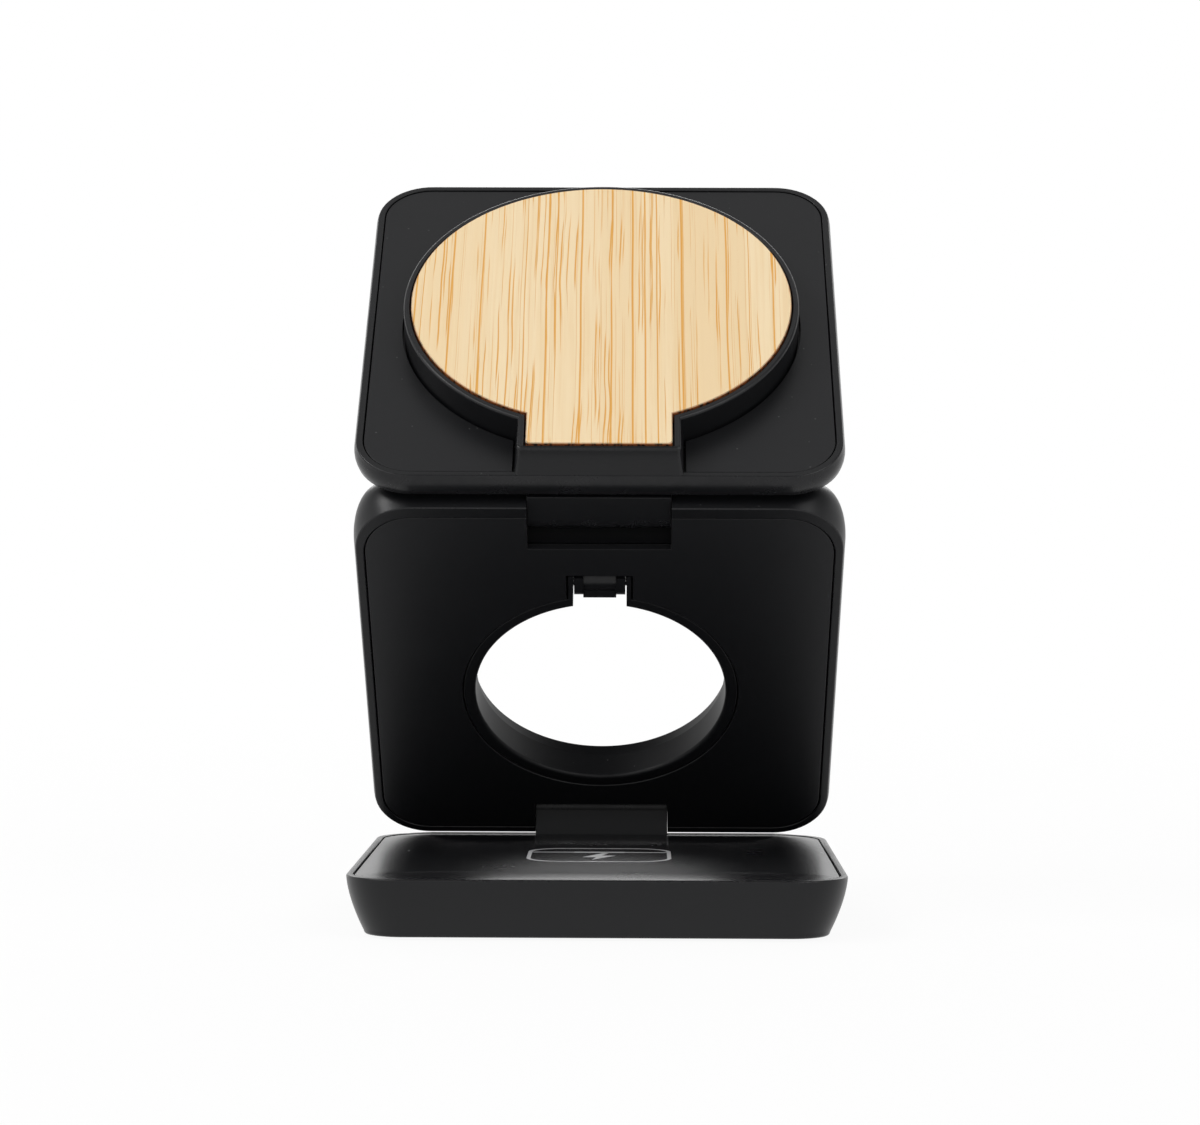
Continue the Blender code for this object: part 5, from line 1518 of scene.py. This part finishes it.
def bamboo_finish(f):
    """Pale bamboo in strips that run up the plate, with fibre streaks and an edge browned by the laser."""
    material, tree, shader, place = new_material("Bamboo")
    lean = Places(bpy.context.scene).top.to_euler().x
    laid = {"Vector": place, "Rotation": (-lean, 0.0, 0.0)}
    flat = add_node(tree, "ShaderNodeMapping", laid).outputs["Vector"]
    along = add_node(tree, "ShaderNodeSeparateXYZ", {"Vector": flat}).outputs

    def bent(scale):
        """The place across the grain, swayed by a slow noise."""
        drift = math_node(tree, "SUBTRACT", noise(tree, flat, scale, detail=1.0), 0.5)
        return times_plus(tree, drift, BEND, along["X"])

    def sheet_place(x, tall):
        """A place whose height is counted in stretches of the grain."""
        inputs = {"X": x, "Y": math_node(tree, "DIVIDE", along["Y"], tall)}
        return add_node(tree, "ShaderNodeCombineXYZ", inputs).outputs["Vector"]

    def lines(seed, across, spacing, thin, thick, share, tall, start, full):
        """Streaks at chance places across the grain, each with its own thickness, that taper along it."""
        lane = math_node(tree, "ADD", math_node(tree, "DIVIDE", across, spacing), seed)
        cells = add_node(tree, "ShaderNodeTexVoronoi", {"W": lane, "Scale": 1.0}, voronoi_dimensions="1D")
        lot = add_node(tree, "ShaderNodeSeparateColor", {"Color": cells.outputs["Color"]}).outputs
        path = sheet_place(times(tree, lot["Blue"], LANE_SHIFT), tall)
        taper = ramp_between(tree, noise(tree, path, scale=1.0, detail=1.0), start, full)
        taper = times(tree, taper, math_node(tree, "LESS_THAN", lot["Green"], share))
        reach = times_plus(tree, lot["Red"], thick - thin, thin)
        reach = times_plus(tree, reach, taper, LEAST_REACH)
        away = math_node(tree, "DIVIDE", cells.outputs["Distance"], reach)
        return ramp_between(tree, away, low=1.0, high=0.4)

    across, wavy = bent(22.0), bent(60.0)
    strip = math_node(tree, "FLOOR", math_node(tree, "DIVIDE", across, STRIP_WIDTH))
    tone = add_node(tree, "ShaderNodeTexWhiteNoise", {"W": strip}, noise_dimensions="1D").outputs["Value"]
    ground = mix_colour(tree, tone, f.bamboo_light, f.bamboo_deep)
    grain = noise(tree, sheet_place(math_node(tree, "DIVIDE", across, GRAIN_WIDTH), tall=0.035), scale=1.0,
                  detail=4.0, roughness=0.6)
    ground = mix_colour(tree, ramp_between(tree, grain, low=0.35, high=0.8), ground, f.bamboo_deep)
    cluster = noise(tree, sheet_place(math_node(tree, "DIVIDE", across, CLUSTER_WIDTH), tall=0.03), scale=1.0,
                    detail=1.0)
    straight = lines(seed=600, across=across, spacing=0.0026, thin=0.03, thick=0.085, share=0.7, tall=0.05,
                     start=0.25, full=0.4)
    bunch = lines(seed=800, across=wavy, spacing=0.0008, thin=0.1, thick=0.22, share=0.9, tall=0.022,
                  start=0.4, full=0.56)
    bunch = times(tree, bunch, ramp_between(tree, cluster, low=0.44, high=0.54))
    hair = lines(seed=1000, across=across, spacing=0.0006, thin=0.05, thick=0.13, share=0.6, tall=0.03,
                 start=0.4, full=0.58)
    streak = math_node(tree, "MAXIMUM", bunch, times(tree, hair, HAIR_SHARE))
    streak = times(tree, math_node(tree, "MAXIMUM", streak, straight), STREAK_SHARE)
    body = mix_colour(tree, streak, ground, f.bamboo_fibre)
    burnt = math_node(tree, "MAXIMUM", times(tree, face_mark(tree, "edge_strip"), EDGE_BURN_SHARE),
                      face_mark(tree, "side_face"))
    scorch = ramp_between(tree, noise(tree, place, scale=1400.0, detail=2.0), low=0.45, high=0.62)
    scorch = mix_colour(tree, scorch, f.bamboo_burnt, f.bamboo_scorched)
    feed(tree, shader, {
        "Base Color": mix_colour(tree, burnt, body, scorch),
        "Roughness": times_plus(tree, grain, factor=0.2, start=0.42),
    })
    add_bump(tree, shader, math_node(tree, "SUBTRACT", grain, streak), depth=0.00002)
    return material


FINISHES = {
    "housing": housing_finish,
    "panel": panel_finish,
    "deck": deck_finish,
    "ring": ring_finish,
    "rubber": rubber_finish,
    "print": print_finish,
    "puck_face": puck_face_finish,
    "steel": steel_finish,
    "nickel": nickel_finish,
    "contact": contact_finish,
    "copper": copper_finish,
    "ferrite": ferrite_finish,
    "board": board_finish,
    "film": film_finish,
    "bamboo": bamboo_finish,
}
MIXED = {}


def finish(name):
    """The finish of that name, mixed the first time that it is asked for."""
    if name not in MIXED:
        MIXED[name] = FINISHES[name](bpy.context.scene.charger_finishes)
        lay_out(MIXED[name].node_tree)
    return MIXED[name]


INNER_PIECES = {
    "steel": ("lower_hinge_pin", "upper_hinge_pin", "watch_hinge_pin", "lower_friction_clip_left",
              "lower_friction_clip_right", "upper_friction_clip_left", "upper_friction_clip_right",
              "board_screw_1", "board_screw_2", "board_screw_3", "board_screw_4"),
    "copper": ("earbud_coil", "phone_coil", "watch_coil"),
    "ferrite": ("earbud_ferrite", "phone_ferrite", "watch_ferrite"),
    "board": ("main_board", "phone_board", "watch_board"),
    "nickel": ("phone_magnet_ring", "watch_magnet"),
    "film": ("power_ribbon",),
}


def finish_inner_pieces():
    """Gives the electronics and the hinge steel their finishes."""
    for look, names in INNER_PIECES.items():
        for name in names:
            for slot in frame["nodes"][name].material_slots:
                slot.material = finish(look)


FLOOR_STOPS = (-0.6, -0.2, 0.2, 0.6)
FLOOR_STRIPS = (-0.6, 0.0, 0.6)
BEND_STEPS = 24


def sweep_profile(studio):
    """The backdrop's side view: floor, bend and wall."""
    bend = studio.wall_bend
    points = [(y, 0.0) for y in (-studio.floor_front, *FLOOR_STOPS)]
    points += arc(studio.wall_back - bend, bend, bend, -90, 0, BEND_STEPS)
    return points + [(studio.wall_back, studio.wall_high)]


def build_floor(studio):
    """Floor and backdrop in one curved sheet."""
    shape = bmesh.new()
    rows = []
    for x in (-studio.floor_half, *FLOOR_STRIPS, studio.floor_half):
        rows.append([shape.verts.new((x, y, z)) for y, z in sweep_profile(studio)])
    for left, right in zip(rows, rows[1:]):
        for i in range(len(left) - 1):
            shape.faces.new((left[i], right[i], right[i + 1], left[i + 1]))
    mesh = bpy.data.meshes.new("studio_floor")
    shape.to_mesh(mesh)
    shape.free()
    mesh.shade_smooth()
    floor = bpy.data.objects.new("studio_floor", mesh)
    bpy.context.scene.collection.objects.link(floor)
    mesh.materials.append(floor_finish(studio))


WHITE_FROM, WHITE_TO = 0.16, 0.6


def floor_finish(studio):
    """A white sheet that keeps the charger's shadow; towards the camera part of its look is plain white."""
    material, tree, shader, place = new_material("Studio Paper")
    feed(tree, shader, {"Base Color": studio.floor_colour, "Roughness": 0.9, "Specular IOR Level": 0.1})
    white = add_node(tree, "ShaderNodeEmission", {"Color": WHITE, "Strength": 1.0})
    centre = add_node(tree, "ShaderNodeVectorMath", {0: place}, operation="LENGTH").outputs["Value"]
    far = ramp_between(tree, centre, WHITE_FROM, WHITE_TO)
    amount = add_node(tree, "ShaderNodeMapRange", {"Value": far, "To Min": studio.white_share, "To Max": 1.0})
    mix = add_node(tree, "ShaderNodeMixShader", {
        "Fac": times(tree, seen_directly(tree), amount.outputs["Result"]),
        1: shader.outputs["BSDF"],
        2: white.outputs["Emission"],
    })
    feed(tree, tree.nodes["Material Output"], {"Surface": mix.outputs["Shader"]})
    lay_out(tree)
    return material


LAMPS = (
    ("front_left_softbox", (-0.95, -0.95, 1.0), (1.0, 1.0), 7.1),
    ("front_right_softbox", (0.95, -0.95, 1.0), (1.0, 1.0), 7.1),
    ("rear_softbox", (0.0, 1.3, 0.8), (1.5, 0.5), 7.0),
    ("overhead_softbox", (0.0, 0.12, 1.3), (1.2, 0.7), 1.5),
    ("left_softbox", (-0.93, -0.24, 0.95), (0.3, 0.3), 3.5),
)
LAMP_AIM = (0.0, 0.0, 0.05)


def build_lamps(studio):
    """Large soft lamps, turned towards the charger, with their places, sizes and watts."""
    for name, place, size, power in LAMPS:
        lamp = bpy.data.lights.new(name, "AREA")
        lamp.shape = "RECTANGLE"
        lamp.size, lamp.size_y = size
        lamp.energy = power * studio.lamp_power
        thing = bpy.data.objects.new(name, lamp)
        bpy.context.scene.collection.objects.link(thing)
        thing.location = place
        thing.rotation_euler = (Vector(LAMP_AIM) - Vector(place)).to_track_quat("-Z", "Y").to_euler()


def seen_directly(tree):
    """One for the rays that show the background: the camera's, and those from glossy and clear things."""
    path = add_node(tree, "ShaderNodeLightPath").outputs
    seen = math_node(tree, "MAXIMUM", path["Is Camera Ray"], path["Is Glossy Ray"])
    return math_node(tree, "MAXIMUM", seen, path["Is Transmission Ray"])


SKY_BLEND = 0.3


def build_sky(studio):
    """An even, dim sky that lights the charger, and shows as plain white near the horizon."""
    world = bpy.data.worlds.new("Studio Air")
    world.use_nodes = True
    tree = world.node_tree
    place = add_node(tree, "ShaderNodeTexCoord").outputs["Generated"]
    height = add_node(tree, "ShaderNodeSeparateXYZ", {"Vector": place}).outputs["Z"]
    low = ramp_between(tree, height, studio.white_up_to + SKY_BLEND, studio.white_up_to)
    shown = times(tree, low, seen_directly(tree))
    strength = times_plus(tree, shown, 1.0 - studio.sky_level, studio.sky_level)
    feed(tree, tree.nodes["Background"], {"Color": WHITE, "Strength": strength})
    lay_out(tree)
    bpy.context.scene.world = world


SENSOR_WIDTH = 36.0
CLIP = (0.01, 20.0)


def build_camera(studio):
    """The camera where the photograph was taken from."""
    scene = bpy.context.scene
    lens = bpy.data.cameras.new("photo_camera")
    lens.sensor_fit = "HORIZONTAL"
    lens.sensor_width = SENSOR_WIDTH
    lens.lens = studio.lens
    lens.clip_start, lens.clip_end = CLIP
    camera = bpy.data.objects.new("photo_camera", lens)
    scene.collection.objects.link(camera)
    seen = Matrix.Rotation(studio.camera_roll, 3, "Y") @ Matrix.Rotation(studio.camera_pitch, 3, "X")
    seen = seen @ Matrix.Rotation(studio.camera_yaw, 3, "Z")
    camera.rotation_euler = (seen.transposed() @ Matrix.Rotation(math.radians(90), 3, "X")).to_euler()
    camera.location = studio.camera_place
    scene.camera = camera
    scene.view_settings.view_transform = "Standard"


class CHARGER_OT_base(bpy.types.Operator):
    """Build the base: housing, deck, rubber foot and power socket"""

    bl_idname = "charger.build_base"
    bl_label = "Base"
    bl_options = {"REGISTER", "UNDO"}

    def execute(self, context):
        at = Places(context.scene)
        build_base_housing(at)
        build_base_deck(at)
        build_foot(at)
        build_socket(at)
        build_tongue(at)
        return {"FINISHED"}


class CHARGER_OT_mark(bpy.types.Operator):
    """Print the earbuds' mark on the base's deck"""

    bl_idname = "charger.build_mark"
    bl_label = "Earbud Mark"
    bl_options = {"REGISTER", "UNDO"}

    def execute(self, context):
        build_earbud_mark(Places(context.scene))
        return {"FINISHED"}


class CHARGER_OT_middle(bpy.types.Operator):
    """Build the middle plate: housing, face and the ring round its hole"""

    bl_idname = "charger.build_middle"
    bl_label = "Middle Plate"
    bl_options = {"REGISTER", "UNDO"}

    def execute(self, context):
        at = Places(context.scene)
        build_middle_housing(at)
        build_middle_face(at)
        build_hole_ring(at)
        return {"FINISHED"}


class CHARGER_OT_top(bpy.types.Operator):
    """Build the top plate: housing with the phone pad, back cover, face and bamboo inlay"""

    bl_idname = "charger.build_top"
    bl_label = "Top Plate"
    bl_options = {"REGISTER", "UNDO"}

    def execute(self, context):
        at = Places(context.scene)
        build_top_housing(at)
        build_top_cover(at)
        build_top_face(at)
        build_inlay(at)
        return {"FINISHED"}


class CHARGER_OT_hinges(bpy.types.Operator):
    """Build the knuckles of the two friction hinges"""

    bl_idname = "charger.build_hinges"
    bl_label = "Hinge Knuckles"
    bl_options = {"REGISTER", "UNDO"}

    def execute(self, context):
        at = Places(context.scene)
        build_lower_knuckle(at)
        build_upper_knuckle(at)
        return {"FINISHED"}


class CHARGER_OT_puck(bpy.types.Operator):
    """Build the watch puck with its arm and charging face"""

    bl_idname = "charger.build_puck"
    bl_label = "Watch Puck"
    bl_options = {"REGISTER", "UNDO"}

    def execute(self, context):
        at = Places(context.scene)
        build_puck(at)
        build_puck_face(at)
        return {"FINISHED"}


class CHARGER_OT_inside(bpy.types.Operator):
    """Finish the coils, boards, magnets, screws, clips and pins inside"""

    bl_idname = "charger.finish_inside"
    bl_label = "Inner Finishes"
    bl_options = {"REGISTER", "UNDO"}

    def execute(self, context):
        finish_inner_pieces()
        return {"FINISHED"}


class CHARGER_OT_stage(bpy.types.Operator):
    """Set up the white floor, the soft lamps and the camera"""

    bl_idname = "charger.build_stage"
    bl_label = "Studio"
    bl_options = {"REGISTER", "UNDO"}

    def execute(self, context):
        studio = context.scene.charger_studio
        build_floor(studio)
        build_lamps(studio)
        build_sky(studio)
        build_camera(studio)
        return {"FINISHED"}


SETTINGS = (
    ("charger_plate", ChargerPlateSizes, "Plates"),
    ("charger_pad", ChargerPadSizes, "Phone Pad"),
    ("charger_hinge", ChargerHingeSizes, "Hinges"),
    ("charger_watch", ChargerWatchSizes, "Watch Puck"),
    ("charger_socket", ChargerSocketSizes, "Socket and Mark"),
    ("charger_finishes", ChargerFinishes, "Finishes"),
    ("charger_studio", ChargerStudio, "Studio"),
)
STEPS = (CHARGER_OT_base, CHARGER_OT_mark, CHARGER_OT_middle, CHARGER_OT_top, CHARGER_OT_hinges,
         CHARGER_OT_puck, CHARGER_OT_inside, CHARGER_OT_stage)


class VIEW3D_PT_charger(bpy.types.Panel):
    """Lists the charger's sizes, finishes and building steps"""

    bl_label = "Folding Charger"
    bl_idname = "VIEW3D_PT_charger"
    bl_space_type = "VIEW_3D"
    bl_region_type = "UI"
    bl_category = "Charger"

    def draw(self, context):
        steps = self.layout.column(align=True)
        for step in STEPS:
            steps.operator(step.bl_idname)
        for name, group, title in SETTINGS:
            box = self.layout.box()
            box.label(text=title)
            for key in group.__annotations__:
                box.prop(getattr(context.scene, name), key)


CLASSES = tuple(group for _, group, _ in SETTINGS) + STEPS + (VIEW3D_PT_charger,)


def register():
    for made in CLASSES:
        bpy.utils.register_class(made)
    for name, group, _ in SETTINGS:
        setattr(bpy.types.Scene, name, bpy.props.PointerProperty(type=group))


def unregister():
    for name, _, _ in SETTINGS:
        delattr(bpy.types.Scene, name)
    for made in reversed(CLASSES):
        bpy.utils.unregister_class(made)


def run_step(step):
    """Calls an operator and stops if it didn't finish."""
    group, name = step.bl_idname.split(".")
    result = getattr(getattr(bpy.ops, group), name)()
    if result != {"FINISHED"}:
        raise RuntimeError(f"{step.bl_label} did not finish")


def main():
    register()
    for step in STEPS:
        run_step(step)


if __name__ == "__main__":
    main()
